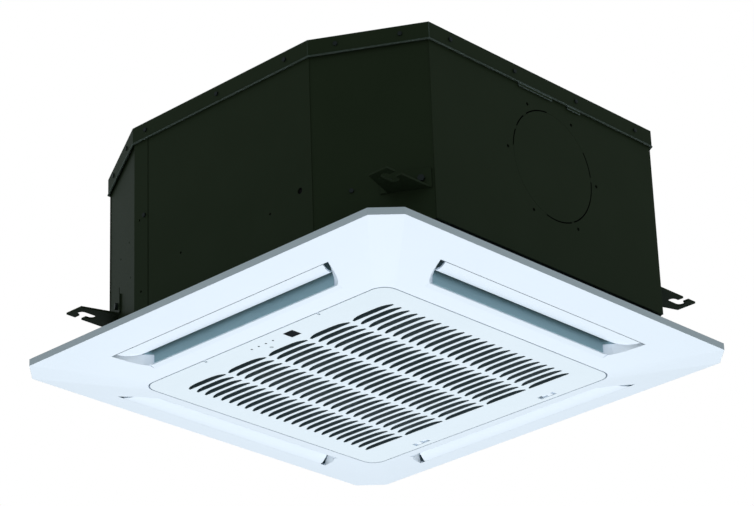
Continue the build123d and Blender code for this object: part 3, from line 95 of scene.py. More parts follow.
def add_node(tree, kind, settings=None, links=None):
    """Adds one node.  A setting whose key is a socket's name or number sets that socket, any other the node's
    property; a link joins a source node's output to a socket."""
    node = tree.nodes.new(kind)
    settings = settings or {}
    for key in [k for k in settings if isinstance(k, str) and k not in node.inputs]:
        setattr(node, key, settings[key])
    for key in [k for k in settings if isinstance(k, int) or k in node.inputs]:
        node.inputs[key].default_value = settings[key]
    for key, (source, output) in (links or {}).items():
        tree.links.new(source.outputs[output], node.inputs[key])
    return node


print("mid grey in linear light", round(float(linear("#808080")[0]), 3))

# %% [markdown]
# ## One build-up for the finishes
# Mouldings, paint, plating and foam share one build-up: two close shades that drift into each other over a
# hand's width, a roughness that wanders with a finer pattern, and that same pattern as a very low relief.
# What differs is the pattern and its real size, so the function takes those in millimetres.  No real edge is
# quite sharp: the shading turns it over a fraction of a millimetre, and an edge can take a third shade, which
# stands for wear and a painted highlight together.
# Values that are the same all over, such as metallic, go straight onto the shader's own sockets.  A Mix node
# has sockets for each kind of value: its two colours are inputs 6 and 7, and the mixed colour is output 2.

# %% The build-up
DRIFT_MM = 70.0
DRIFT_DETAIL, GRAIN_DETAIL = 2.0, 3.0
FLAT_COSINE, EDGE_WEAR_AND_HIGHLIGHT_COSINE = 0.995, 0.8
MIX_A, MIX_B, MIX_OUT = 6, 7, 2
finishes = {}


def two_shades(tree, factor, first, second):
    """Mixes two colours: first + (second - first) * factor.  Each is a hex code or the node that gives it."""
    sockets = {"data_type": "RGBA"}
    links = {0: factor}
    for key, shade in ((MIX_A, first), (MIX_B, second)):
        if isinstance(shade, str):
            sockets[key] = linear(shade)
        else:
            links[key] = (shade, MIX_OUT)
    return add_node(tree, "ShaderNodeMix", sockets, links)


def finish(slot, name, shades, rough, pattern="NOISE", size_mm=2.0, stretch=(1, 1, 1), relief_mm=0.02,
           mottle=0.3, edge_mm=0.4, edge_wear_and_highlight=None, **sockets):
    """Makes the material of a slot.  Colour is A + (B - A) * (drift * (1 - mottle) + pattern * mottle),
    roughness runs from rough[0] to rough[1] with the pattern, and the height of the relief is pattern times
    relief_mm.  The edge shade, wear and a painted highlight in one, has a share of the pattern times a ramp,
    which rises from 0 to 1 as the cosine between the rounded normal and the flat one falls from FLAT_COSINE to
    the second edge cosine."""
    material = bpy.data.materials.new(name)
    material.use_nodes = True
    tree = material.node_tree
    tree.nodes.clear()
    where = add_node(tree, "ShaderNodeTexCoord")
    scaled = add_node(tree, "ShaderNodeMapping", {"Scale": stretch}, {"Vector": (where, "Object")})
    per_metre = 1 / (size_mm * MM)
    if pattern == "CELLS":
        grain = add_node(tree, "ShaderNodeTexVoronoi", {"Scale": per_metre}, {"Vector": (scaled, 0)})
    else:
        grain = add_node(tree, "ShaderNodeTexNoise", {"Scale": per_metre, "Detail": GRAIN_DETAIL},
                         {"Vector": (scaled, 0)})
    drift = add_node(tree, "ShaderNodeTexNoise", {"Scale": 1 / (DRIFT_MM * MM), "Detail": DRIFT_DETAIL},
                     {"Vector": (where, "Object")})
    mixed = add_node(tree, "ShaderNodeMix", {"data_type": "FLOAT", 0: mottle}, {2: (drift, 0), 3: (grain, 0)})
    colour = two_shades(tree, (mixed, 0), *shades)
    rounded = add_node(tree, "ShaderNodeBevel", {"Radius": edge_mm * MM})
    # pale edge shade: wear and a painted highlight together
    if edge_wear_and_highlight:
        flat = add_node(tree, "ShaderNodeNewGeometry")
        turn = add_node(tree, "ShaderNodeVectorMath", {"operation": "DOT_PRODUCT"},
                        {0: (rounded, 0), 1: (flat, "Normal")})
        edge = add_node(tree, "ShaderNodeMapRange", {"From Min": FLAT_COSINE, "From Max": EDGE_WEAR_AND_HIGHLIGHT_COSINE},
                        {"Value": (turn, "Value")})
        wear_and_highlight_share = add_node(tree, "ShaderNodeMath", {"operation": "MULTIPLY"}, {0: (edge, 0), 1: (grain, 0)})
        colour = two_shades(tree, (wear_and_highlight_share, 0), colour, edge_wear_and_highlight)
    sheen = add_node(tree, "ShaderNodeMapRange", {"To Min": rough[0], "To Max": rough[1]},
                     {"Value": (grain, 0)})
    relief = add_node(tree, "ShaderNodeBump", {"Strength": 1.0, "Distance": relief_mm * MM},
                      {"Height": (grain, 0), "Normal": (rounded, 0)})
    shader = add_node(tree, "ShaderNodeBsdfPrincipled", sockets,
                      {"Base Color": (colour, MIX_OUT), "Roughness": (sheen, 0), "Normal": (relief, 0)})
    add_node(tree, "ShaderNodeOutputMaterial", {}, {"Surface": (shader, 0)})
    finishes[slot] = material
    return material


# %% [markdown]
# ## Plastics
# The panel, the grille and the blades are moulded ABS with a satin surface: the mould is spark-eroded, which
# leaves a grain of about half a millimetre that breaks up the highlights.  Drawn that fine it would only
# shimmer in the render, so it is drawn at one millimetre.  The white is a cool one, as the photograph shows.
# The duct walls are the same kind of moulding in a dull grey; the fan is glass-filled and a little rougher.

# %% Moulded plastics
finish("panel_white", "abs_moulded_cool_white", ("#E4EEFB", "#E1EBF8"), (0.34, 0.46), size_mm=1.0,
       relief_mm=0.012, mottle=0.15, edge_mm=0.8, IOR=1.53)
finish("inner_white", "polystyrene_moulded_white", ("#DDE1E3", "#D5DADD"), (0.5, 0.65), size_mm=1.5,
       relief_mm=0.02, IOR=1.55)
finish("duct_grey", "polystyrene_moulded_grey", ("#8FB0BA", "#84A6B2"), (0.45, 0.6), size_mm=1.5,
       relief_mm=0.02, IOR=1.55)
finish("fan_plastic", "glass_filled_abs_moulded", ("#CBCDCB", "#C2C5C3"), (0.5, 0.7), size_mm=0.9,
       stretch=(1, 1, 0.3), relief_mm=0.02, IOR=1.53)
finish("pump_plastic", "polypropylene_moulded", ("#D2D2CC", "#C8C9C3"), (0.4, 0.55), size_mm=1.8,
       relief_mm=0.02, IOR=1.49)
finish("float_white", "foamed_polypropylene", ("#EDEDE8", "#E3E3DE"), (0.6, 0.8), "CELLS", 0.9,
       relief_mm=0.05, IOR=1.49)
finish("filter_black", "polypropylene_woven_black", ("#15191A", "#1E2324"), (0.55, 0.7), size_mm=0.8,
       relief_mm=0.02, IOR=1.49)
finish("terminal_black", "phenolic_moulded_black", ("#17181A", "#1E2022"), (0.35, 0.5), size_mm=1.2,
       relief_mm=0.015, IOR=1.6)
finish("button_grey", "abs_moulded_grey", ("#AEB7BD", "#A6B0B6"), (0.35, 0.45), size_mm=1.0, relief_mm=0.01,
       IOR=1.53)
print("plastics", len(finishes))

# %% [markdown]
# The receiver's window is dark red-black polycarbonate that lets infrared through and looks like black glass;
# the lamps are small diffusing lenses, grey while unlit.  Both are polished in the mould, so their roughness
# is low and the reflection in them is sharp.

# %% Window and lamps
finish("window_dark", "polycarbonate_infrared_black", ("#0A0E12", "#0E1318"), (0.1, 0.16), size_mm=6.0,
       relief_mm=0.004, IOR=1.585, **{"Specular IOR Level": 0.03})
finish("lamp_clear", "polycarbonate_diffusing_grey", ("#333D42", "#2B3439"), (0.15, 0.25), size_mm=2.0,
       relief_mm=0.004, IOR=1.585)
print("finishes", len(finishes))

# %% [markdown]
# ## Painted and plated steel
# The casing is thin galvanised sheet with a black powder coat.  Powder flows out unevenly in the oven and
# leaves an orange-peel relief about two millimetres across.  The coat is matt with a little green in it: it
# reflects weakly, and greenish.  The top cover has the same coat with pale folded edges, which are partly wear
# and partly a painted highlight.  Screws are black zinc.  Motor cans are sprayed grey, and brackets inside are
# plain galvanised steel, whose zinc crystals show as a spangle some six millimetres wide.

# %% Sheet steel
BLACK_COAT = {"shades": ("#2B3423", "#313A29"), "rough": (0.38, 0.52), "size_mm": 2.2, "relief_mm": 0.035,
              "mottle": 0.2, "IOR": 1.5, "Specular IOR Level": 0.08, "Specular Tint": (0.66, 0.95, 0.78, 1.0)}

finish("black_sheet", "steel_powder_coated_black", **BLACK_COAT)
finish("screw_black", "steel_black_zinc", ("#23292A", "#2C3334"), (0.35, 0.5), size_mm=0.8, relief_mm=0.01,
       Metallic=0.6)
finish("zinc", "steel_galvanised_spangle", ("#A9ACAE", "#BDBFC1"), (0.32, 0.5), "CELLS", 6.0, relief_mm=0.01,
       mottle=0.7, Metallic=1.0)
finish("motor_steel", "steel_sprayed_grey", ("#8C8F92", "#83878A"), (0.35, 0.5), size_mm=1.4, relief_mm=0.02,
       Metallic=0.3)
finish("pin_steel", "steel_ground_bright", ("#9C9C9E", "#ABABAD"), (0.18, 0.32), size_mm=0.5,
       stretch=(1, 1, 0.05), relief_mm=0.004, Metallic=1.0)
# pale folded edges: wear and a painted highlight together
finish("cover_sheet", "steel_powder_coated_black_edge_wear_and_highlight", edge_mm=1.4, edge_wear_and_highlight="#C9DADC", **BLACK_COAT)
print("finishes", len(finishes))

# %% [markdown]
# ## Copper, brass and aluminium
# Copper tube is drawn and then bent: it is bright pink-brown where it was handled and duller where it was
# heated, so its two shades are far apart.  The nuts are turned brass with fine tool marks round them.  The
# coil's fins are rolled aluminium foil, matt in the mass.

# %% Soft metals
finish("copper", "copper_drawn_tube", ("#B8704C", "#8E5238"), (0.22, 0.42), size_mm=7.0, relief_mm=0.01,
       mottle=0.5, Metallic=1.0)
finish("nut_brass", "brass_turned", ("#C6A052", "#B18C42"), (0.2, 0.34), size_mm=0.6, stretch=(1, 1, 0.1),
       relief_mm=0.006, Metallic=1.0)
finish("fin_aluminium", "aluminium_rolled_fins", ("#BFC4C8", "#AEB4B8"), (0.4, 0.55), size_mm=1.5,
       stretch=(1, 1, 0.1), relief_mm=0.02, Metallic=1.0)
print("finishes", len(finishes))

# %% [markdown]
# ## Foam, rubber and the board
# The pan is expanded polystyrene: beads about four millimetres across, pressed flat against each other, so a
# cell pattern is both its relief and its faint outline.  The gasket is closed-cell polyethylene foam, black,
# with
# pores under a millimetre, and the insulation gets the same finish.  On the insulation the black is painted
# shade:
# it darkens what shows through the holes in the casing.  Rubber is dull with a bloom; the circuit board is
# green epoxy under a clear lacquer.

# %% Foams, rubber, board
finish("foam_white", "polystyrene_expanded_beads", ("#E6E6E1", "#D8D8D2"), (0.7, 0.9), "CELLS", 4.0,
       relief_mm=0.25, mottle=0.6, IOR=1.4)
# black foam: the gasket's own colour, and painted shade behind the casing's holes
finish("foam_black", "polyethylene_foam_black_gasket_and_hole_shade", ("#141515", "#1C1D1D"), (0.8, 0.95), "CELLS", 0.9,
       relief_mm=0.12, mottle=0.6, IOR=1.4, **{"Specular IOR Level": 0.3})
finish("mount_rubber", "rubber_moulded_black", ("#171717", "#232323"), (0.6, 0.8), size_mm=1.2,
       relief_mm=0.03, IOR=1.52)
finish("hose_grey", "pvc_soft_grey", ("#6D7275", "#787D80"), (0.45, 0.6), size_mm=2.0, relief_mm=0.02,
       IOR=1.53)
finish("board_green", "epoxy_board_green", ("#1C5735", "#2B7046"), (0.3, 0.4), "CELLS", 3.0, relief_mm=0.05,
       mottle=0.5, IOR=1.55, **{"Coat Weight": 0.5, "Coat Roughness": 0.1})
print("finishes", len(finishes))

# %% [markdown]
# ## Painted shade in the grille's slots
# The grille is white, close to the panel's own white.  Its slots carry painted shade: half a millimetre behind
# the face, each slot's flanks fade into a dark grey-teal, which stands in for the shade inside the slot.  With
# the black filter the slots read as near-black strokes from the room.  The border round the field of slots
# gets no painted shade, because its edge shows in the seam.

# %% Painted shade on the slots' flanks
SLOT_SHADE_FROM_MM, SLOT_SHADE_TO_MM = -31.95, -31.45
FIELD_HALF_MM = (171.0, 183.0)
PAINTED_SLOT_SHADE = "#6A7C83"

grille_white_slot_shade = finish("grille_painted_slot_shade", "abs_white_painted_slot_shade", ("#E0EAF4", "#DBE6F0"), (0.34, 0.46),
                 size_mm=1.0, relief_mm=0.012, mottle=0.15, IOR=1.53)
tree = grille_white_slot_shade.node_tree
shader = next(node for node in tree.nodes if node.type == "BSDF_PRINCIPLED")
paint = shader.inputs["Base Color"].links[0].from_node
spot = add_node(tree, "ShaderNodeTexCoord")
height = add_node(tree, "ShaderNodeSeparateXYZ", {}, {0: (spot, "Object")})
# painted shade: the flanks turn dark from half a millimetre behind the face
slot_shade_depth = add_node(tree, "ShaderNodeMapRange", {"From Min": SLOT_SHADE_FROM_MM * MM, "From Max": SLOT_SHADE_TO_MM * MM},
                {"Value": (height, "Z")})
field = (*(half * MM for half in FIELD_HALF_MM), 1.0)
share = add_node(tree, "ShaderNodeVectorMath", {"operation": "DIVIDE", 1: field}, {0: (spot, "Object")})
outward = add_node(tree, "ShaderNodeVectorMath", {"operation": "ABSOLUTE"}, {0: (share, 0)})
sides = add_node(tree, "ShaderNodeSeparateXYZ", {}, {0: (outward, 0)})
largest = add_node(tree, "ShaderNodeMath", {"operation": "MAXIMUM"}, {0: (sides, "X"), 1: (sides, "Y")})
inside = add_node(tree, "ShaderNodeMath", {"operation": "LESS_THAN", 1: 1.0}, {0: (largest, 0)})
slot_shade_share = add_node(tree, "ShaderNodeMath", {"operation": "MULTIPLY"}, {0: (slot_shade_depth, 0), 1: (inside, 0)})
# the painted slot shade mixes into the grille's white here
body = two_shades(tree, (slot_shade_share, 0), paint, PAINTED_SLOT_SHADE)
tree.links.new(body.outputs[MIX_OUT], shader.inputs["Base Color"])
print("painted slot shade full at", SLOT_SHADE_TO_MM, "mm")

# %% [markdown]
# ## The finishes go on
# Each CAD node says in the frame's record which material slot it belongs to, so one loop dresses all of them.
# The top cover alone gets a finish of its own, the black coat with pale edges that stand for wear and a
# painted highlight together.

# %% Put the finishes on the CAD nodes
slot_of = {row["node"]: row["material_slot"] for row in frame["record"]["subparts"]}
for node_name, node in nodes.items():
    node.data.materials.clear()
    node.data.materials.append(finishes[slot_of[node_name]])
nodes["top_cover"].data.materials[0] = finishes["cover_sheet"]
print("nodes with a finish", len(slot_of), "slots", len(set(slot_of.values())))

# %% [markdown]
# ## Surfaces from numbers
# Every new piece below is worked out as whole arrays.  A profile carried along a path gives rings of points,
# and neighbouring rings are joined with quads and closed at both ends.  The last function turns the result
# into an object that moves with its body and stands for its CAD node.

# %% Tubes and pieces
WELD_MM = 0.002
SHARP_ANGLE = np.radians(32.0)


def ring_quads(tubes, stations, sides):
    """Quads between neighbouring rings of each tube: from corner (s, k) to (s, k + 1), (s + 1, k + 1) and
    (s + 1, k), where s is the ring and k the place round it."""
    t, s, k = np.meshgrid(np.arange(tubes), np.arange(stations - 1), np.arange(sides), indexing="ij")
    first = (t * stations + s) * sides
    after = (k + 1) % sides
    return np.stack([first + k, first + after, first + sides + after, first + sides + k], -1).reshape(-1, 4)


def end_caps(tubes, stations, sides):
    """One polygon on the first ring and one on the last ring of each tube, facing out of the tube."""
    start = np.arange(tubes)[:, None] * stations * sides + np.arange(sides)[None, ::-1]
    end = (np.arange(tubes)[:, None] * stations + stations - 1) * sides + np.arange(sides)[None, :]
    return start.tolist() + end.tolist()


def sweep(rings):
    """rings[tube, station, side] are points in millimetres; returns the closed tubes' points and faces."""
    counts = rings.shape[:3]
    return rings.reshape(-1, 3), ring_quads(*counts).tolist() + end_caps(*counts)


def joined(parts):
    """One set of points and faces from several: each part's corners count on from the points before it."""
    all_points, all_faces, count = [], [], 0
    for points, faces in parts:
        all_points.append(points)
        all_faces += [[corner + count for corner in face] for face in faces]
        count += len(points)
    return np.concatenate(all_points), all_faces


def add_piece(name, points, faces, slot, body, replaced, smooth=True, look=None):
    """A mesh object in the frame's metres: its doubles are merged, then its normals are turned outwards."""
    mesh = bpy.data.meshes.new(name)
    mesh.from_pydata((points * MM).tolist(), [], faces)
    shell = bmesh.new()
    shell.from_mesh(mesh)
    bmesh.ops.remove_doubles(shell, verts=shell.verts, dist=WELD_MM * MM)
    bmesh.ops.recalc_face_normals(shell, faces=shell.faces)
    shell.to_mesh(mesh)
    shell.free()
    mesh.polygons.foreach_set("use_smooth", np.full(len(mesh.polygons), smooth))
    mesh.set_sharp_from_angle(angle=SHARP_ANGLE)
    mesh.materials.append(look or finishes[slot])
    piece = bpy.data.objects.new(name, mesh)
    bpy.context.scene.collection.objects.link(piece)
    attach(piece, body)
    if replaced:
        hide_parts(*replaced)
    low, high = points.min(0), points.max(0)
    print(name, "faces", len(mesh.polygons), "size mm", (high - low).round(1).tolist())
    return piece


# %% [markdown]
# ## The grille's slots
# In the photograph each slot is a stroke of nearly even width with one arched side, and its ends taper late.
# The CAD slot is a plainer lens that comes to narrow tips.  A merged copy of the grille keeps every wall, pin
# and window of the CAD piece; only the points on the arched side of each slot move.  Measured across the
# slot, an arch lies at a - b (1 - t^n), where t runs from -1 to 1 along the slot: a is the place of its ends,
# b its rise, and n is 2 for the CAD slot and 4 for the new one.  The flanks lean: a slot shifts with height.

# %% Slots with even width
SLOT_PITCH_MM, SLOT_COLUMN_MM = 13.93, 72.0
SLOT_ROWS, SLOT_COLUMNS = 24, 5
SLOT_HALF_MM = 33.0
SLOT_LEAN = 0.32
SLOT_MID_Z_MM = -28.0
OLD_ARCH_MM, OLD_POWER = (1.8, 5.6), 2
NEW_ARCH_MM, NEW_POWER = (0.2, 6.0), 4
ON_ARCH_MM = 0.2
ENDS_AT = 1.002
MID_ROW, MID_COLUMN = (SLOT_ROWS - 1) / 2, (SLOT_COLUMNS - 1) / 2


def mesh_arrays(node):
    """The points in millimetres and the corners of the triangles of a CAD node."""
    mesh = nodes[node].data
    mesh.calc_loop_triangles()
    points = np.empty(len(mesh.vertices) * 3)
    corners = np.empty(len(mesh.loop_triangles) * 3, int)
    mesh.vertices.foreach_get("co", points)
    mesh.loop_triangles.foreach_get("vertices", corners)
    return points.reshape(-1, 3) / MM, corners.reshape(-1, 3)


def arch(along, ends, rise, power):
    """Place of the arched side across the slot: ends - rise * (1 - along to the power)."""
    return ends - rise * (1 - along ** power)


grille_points, corners = mesh_arrays("intake_grille")
x, y, z = grille_points.T
lean = SLOT_LEAN * (z - SLOT_MID_Z_MM)
row = np.round((x - lean) / SLOT_PITCH_MM + MID_ROW)
column = np.round(y / SLOT_COLUMN_MM + MID_COLUMN)
across = x - lean - (row - MID_ROW) * SLOT_PITCH_MM
t = (y - (column - MID_COLUMN) * SLOT_COLUMN_MM) / SLOT_HALF_MM
old_arch = arch(t, *OLD_ARCH_MM, OLD_POWER)
new_arch = arch(t, *NEW_ARCH_MM, NEW_POWER)
in_rows = (row >= 0) & (row < SLOT_ROWS)
in_columns = (column >= 0) & (column < SLOT_COLUMNS) & (np.abs(t) < ENDS_AT)
arched = in_rows & in_columns & (np.abs(across - old_arch) < ON_ARCH_MM)
grille_points[arched, 0] += (new_arch - old_arch)[arched]
add_piece("grille_moulding", grille_points, corners.tolist(), "panel_white", "grille", ["intake_grille"],
          look=grille_white_slot_shade)
print("points moved", int(arched.sum()), "of", len(x))

# %% [markdown]
# ## The air blades
# In the photograph hardly a line shows between a blade and the panel.  The CAD blade keeps 1.4 mm of room
# there so that it can swing.  A merged copy of each blade has its outer edge 0.9 mm further out, which still
# clears the slot's bevel over the whole swing, and its curved face is shaded smooth because a mould leaves no
# facets.

# %% Blades with a closer edge
BLADE_SIDES = {"front": (0.0, -1.0), "left": (-1.0, 0.0), "rear": (0.0, 1.0), "right": (1.0, 0.0)}
EDGE_FROM_MM = 278.0
EDGE_OUT_MM = 0.9

for side, outward in BLADE_SIDES.items():
    blade, corners = mesh_arrays(f"louver_{side}")
    on_edge = blade[:, :2] @ np.array(outward) > EDGE_FROM_MM
    blade[on_edge, :2] += EDGE_OUT_MM * np.array(outward)
    add_piece(f"blade_{side}", blade, corners.tolist(), "panel_white", f"louver_{side}_body",
              [f"louver_{side}"])

# %% [markdown]
# ## The filter's net
# A washable filter is woven from polypropylene thread: each thread passes over one neighbour and under the
# next.  Its centre line is a straight run plus a cosine in height whose half wave is the spacing, and the two
# directions are half a wave out of step.  A real net has about six threads to the centimetre, which would be
# nearly forty thousand crossings, so it is woven at seven millimetres here, of thread 0.3 mm thick.

# %% Woven net
NET_HALF_MM = (153.5, 166.7)
NET_Z_MM = -21.8
NET_SPACING_MM = 7.0
THREAD_R_MM = 0.15
WAVE_MM = 0.14
STEPS_PER_CROSSING = 3
THREAD_SIDES = 5


def threads(half_across, half_along, phase):
    """Rings of parallel threads along the first axis.  A thread's height is
    wave * cos(pi * (distance along / spacing + number of the thread) + phase)."""
    count = int(2 * half_across // NET_SPACING_MM)
    across = (np.arange(count) - (count - 1) / 2) * NET_SPACING_MM
    steps = int(2 * half_along / NET_SPACING_MM * STEPS_PER_CROSSING)
    along = np.linspace(-half_along, half_along, steps)
    turn = np.arange(THREAD_SIDES) / THREAD_SIDES * 2 * np.pi
    number, run, angle = np.meshgrid(np.arange(count), along, turn, indexing="ij")
    height = NET_Z_MM + WAVE_MM * np.cos(np.pi * (run / NET_SPACING_MM + number) + phase)
    side = across[:, None, None] + THREAD_R_MM * np.cos(angle)
    return run, side, height + THREAD_R_MM * np.sin(angle)


run, side, height = threads(NET_HALF_MM[1] - THREAD_R_MM, NET_HALF_MM[0], 0.0)
x_threads = sweep(np.stack([run, side, height], -1))
run, side, height = threads(NET_HALF_MM[0] - THREAD_R_MM, NET_HALF_MM[1], np.pi)
y_threads = sweep(np.stack([side, run, height], -1))
add_piece("net_woven", *joined([x_threads, y_threads]), "filter_black", "grille", ["filter_net"])

# %% [markdown]
# ## The coil's fins
# The heat exchanger is a stack of aluminium leaves pressed onto the tubes and then bent round the fan, so
# from the side it is hundreds of bright edges with dark gaps.  The pack is one profile carried along a
# rounded square, and its two faces step in and out with the fins: depth is 0 on a leaf and 1.6 mm between
# leaves.  Real leaves stand 1.4 mm apart, which would only shimmer, so they stand 4 mm apart here.

# %% Fins round a rounded square
COIL_HALF_MM = 228.0
COIL_T_MM = 28.0
COIL_R_MM = 50.0
COIL_END_MM = 140.0
COIL_Z_MM = (42.0, 260.0)
FIN_SPACING_MM = 4.0
FIN_LEAF_MM = 1.2
FIN_DEPTH_MM = 1.6
FIN_FLANK_MM = 0.05
ARC_POINTS = 19


def coil_line(distance):
    """Centre of the pack and its outward normal at a distance along it, and the whole length.  The line is
    straight runs joined by quarter circles, and its normal turns with the angle of each circle."""
    half = COIL_HALF_MM - COIL_T_MM / 2
    bend = COIL_R_MM - COIL_T_MM / 2
    flat = half - bend
    runs = [np.array([[half, COIL_END_MM, 0.0], [half, -flat, 0.0]])]
    for quarter, corner in enumerate(((1, -1), (-1, -1), (-1, 1))):
        angle = np.radians(-90.0 * quarter - np.linspace(0.0, 90.0, ARC_POINTS))
        arc = flat * np.array(corner) + bend * np.stack([np.cos(angle), np.sin(angle)], -1)
        runs.append(np.column_stack([arc, angle]))
    runs.append(np.array([[COIL_END_MM, half, -1.5 * np.pi]]))
    line = np.concatenate(runs)
    travelled = np.concatenate([[0], np.cumsum(np.linalg.norm(np.diff(line[:, :2], axis=0), axis=1))])
    x, y, angle = (np.interp(distance, travelled, line[:, c]) for c in range(3))
    return np.stack([x, y], -1), np.stack([np.cos(angle), np.sin(angle)], -1), travelled[-1]


length = coil_line(np.zeros(1))[2]
leaf = np.arange(0, length - FIN_LEAF_MM, FIN_SPACING_MM)
steps = np.array([0, FIN_LEAF_MM, FIN_LEAF_MM + FIN_FLANK_MM, FIN_SPACING_MM - FIN_FLANK_MM])
distance = (leaf[:, None] + steps).reshape(-1)
depth = np.tile([0, 0, FIN_DEPTH_MM, FIN_DEPTH_MM], len(leaf))
keep = distance <= length
centre, normal, _ = coil_line(distance[keep])
reach = (COIL_T_MM / 2 - depth[keep])[:, None]
outer, inner = centre + normal * reach, centre - normal * reach
rings = np.stack([np.column_stack([plan, np.full(len(plan), z)]) for plan, z in (
    (outer, COIL_Z_MM[0]), (outer, COIL_Z_MM[1]), (inner, COIL_Z_MM[1]), (inner, COIL_Z_MM[0]))], 1)
points, faces = sweep(rings[None])
add_piece("fin_pack", points, faces, "fin_aluminium", "housing", ["coil_fins"], smooth=False)

# %% [markdown]
# ## Foam gasket
# Between the panel and the casing lies soft closed-cell foam.  Once it is squeezed, its cut edges are no
# longer upright: they bulge.  Each pad is its outline repeated at seven heights, drawn in by 1.2 mm at the
# top and bottom and by nothing half way up, as a parabola.  A bar and a corner pad are turned to four sides.

# %% Bulging pads
GASKET_Z_MM = (20.0, 25.0)
GASKET_IN_MM = 1.2
GASKET_LEVELS = 7
BAR_MM = [(-178, -238), (178, -238), (178, -210.2), (-178, -210.2)]
PAD_MM = [(178, 238), (238, 178), (238, 156), (283.5, 190.3), (286.5, 208.5), (208.5, 286.5), (190.3, 283.5),
          (156, 238)]


def bulging_pad(outline, turn):
    """Rings of one pad, turned about the axis.  Each corner of the outline, which runs anticlockwise, moves
    along its mitred inward normal by GASKET_IN_MM * (2h - 1)^2, for heights h from 0 to 1."""
    plan = np.array(outline, float)
    ahead = np.roll(plan, -1, 0) - plan
    ahead /= np.linalg.norm(ahead, axis=1, keepdims=True)
    left = np.stack([-ahead[:, 1], ahead[:, 0]], -1)
    mitre = left + np.roll(left, 1, 0)
    mitre /= np.maximum(1.0, (mitre * left).sum(1, keepdims=True))
    h = np.linspace(0, 1, GASKET_LEVELS)
    inward = GASKET_IN_MM * (2 * h - 1) ** 2
    moved = plan[None] + mitre[None] * inward[:, None, None]
    c, s = np.cos(turn), np.sin(turn)
    turned = np.stack([c * moved[..., 0] - s * moved[..., 1], s * moved[..., 0] + c * moved[..., 1]], -1)
    z = GASKET_Z_MM[0] + (GASKET_Z_MM[1] - GASKET_Z_MM[0]) * h
    return np.concatenate([turned, np.broadcast_to(z[:, None, None], (*turned.shape[:2], 1))], -1)


pads = [sweep(bulging_pad(outline, turn)[None])
        for turn in np.radians([0, 90, 180, 270]) for outline in (BAR_MM, PAD_MM)]
add_piece("gasket_foam", *joined(pads), "foam_black", "housing", ["panel_gasket"], smooth=False)

# %% [markdown]
# ## Rubber mounts
# The motor hangs on three moulded rubber cones with a waist, which let it sway a little and keep its hum out
# of the casing.  A cone is a profile turned about its axis: the radius runs from 9 to 7 mm with a waist of
# 2.4 mm taken off as the square of a sine, so that its ends stay full.

# %% Waisted cones
MOUNT_RING_MM = 72.0
MOUNT_Z_MM = (251.0, 279.8)
MOUNT_ENDS_MM = (9.0, 7.0)
WAIST_MM = 2.4
MOUNT_RINGS, MOUNT_SIDES = 15, 28

t = np.linspace(0, 1, MOUNT_RINGS)
profile = MOUNT_ENDS_MM[0] + (MOUNT_ENDS_MM[1] - MOUNT_ENDS_MM[0]) * t - WAIST_MM * np.sin(np.pi * t) ** 2
places = np.radians([0, 120, 240])
turn = np.arange(MOUNT_SIDES) / MOUNT_SIDES * 2 * np.pi
middle, radius, angle = np.meshgrid(places, profile, turn, indexing="ij")
z = np.broadcast_to((MOUNT_Z_MM[0] + (MOUNT_Z_MM[1] - MOUNT_Z_MM[0]) * t)[None, :, None], middle.shape)
cones = np.stack([MOUNT_RING_MM * np.cos(middle) + radius * np.cos(angle),
                  MOUNT_RING_MM * np.sin(middle) + radius * np.sin(angle), z], -1)
points, faces = sweep(cones)
add_piece("mounts_waisted", points, faces, "mount_rubber", "housing", ["motor_mounts"])

# %% [markdown]
# ## The drain hose
# The pump lifts the water through a short ribbed hose.  Ribs let thin soft plastic turn a corner without
# closing.  The hose follows a smooth spline whose control points are the route of the CAD hose, and its radius
# swings by half a millimetre with a rib every 4 mm.  Its rings are squared up against one direction in which
# the hose never runs, so that they do not twist.

# %% Ribbed hose along a spline
HOSE_ROUTE_MM = ((224.8, 182.5, 115.0), (237.1, 168.6, 115.0), (237.1, 168.6, 160.0), (237.1, 168.6, 205.0),
                 (252.0, 112.0, 205.0), (270.0, 112.0, 205.0))
HOSE_R_MM = 6.4
RIB_MM = 0.5
RIB_SPACING_MM = 4.0
HOSE_STEP_MM = 0.8
HOSE_SIDES = 20
HOSE_ASIDE = (0.75, 0.66, 0.0)
SPLINE_ORDER, SPLINE_STEPS = 3, 24


def spline_points(route):
    """Points along the smooth line whose control points are the route."""
    curve = bpy.data.curves.new("hose_line", "CURVE")
    curve.dimensions = "3D"
    curve.resolution_u = SPLINE_STEPS
    spline = curve.splines.new("NURBS")
    spline.points.add(len(route) - 1)
    for point, place in zip(spline.points, route):
        point.co = (*place, 1.0)
    spline.order_u = SPLINE_ORDER
    spline.use_endpoint_u = True
    holder = bpy.data.objects.new("hose_line", curve)
    mesh = bpy.data.meshes.new_from_object(holder)
    line = np.array([tuple(v.co) for v in mesh.vertices])
    bpy.data.objects.remove(holder)
    bpy.data.meshes.remove(mesh)
    return line


line = spline_points(HOSE_ROUTE_MM)
travelled = np.concatenate([[0], np.cumsum(np.linalg.norm(np.diff(line, axis=0), axis=1))])
distance = np.arange(0, travelled[-1], HOSE_STEP_MM)
path_points = np.stack([np.interp(distance, travelled, line[:, c]) for c in range(3)], -1)
ahead = np.gradient(path_points, axis=0)
ahead /= np.linalg.norm(ahead, axis=1, keepdims=True)
across = np.cross(ahead, HOSE_ASIDE)
across /= np.linalg.norm(across, axis=1, keepdims=True)
upward = np.cross(across, ahead)
radius = HOSE_R_MM + RIB_MM * np.cos(2 * np.pi * distance / RIB_SPACING_MM)
turn = np.arange(HOSE_SIDES) / HOSE_SIDES * 2 * np.pi
rings = path_points[:, None] + radius[:, None, None] * (
    across[:, None] * np.cos(turn)[None, :, None] + upward[:, None] * np.sin(turn)[None, :, None])
points, faces = sweep(rings[None])
add_piece("hose_ribbed", points, faces, "hose_grey", "housing", ["drain_hose"])

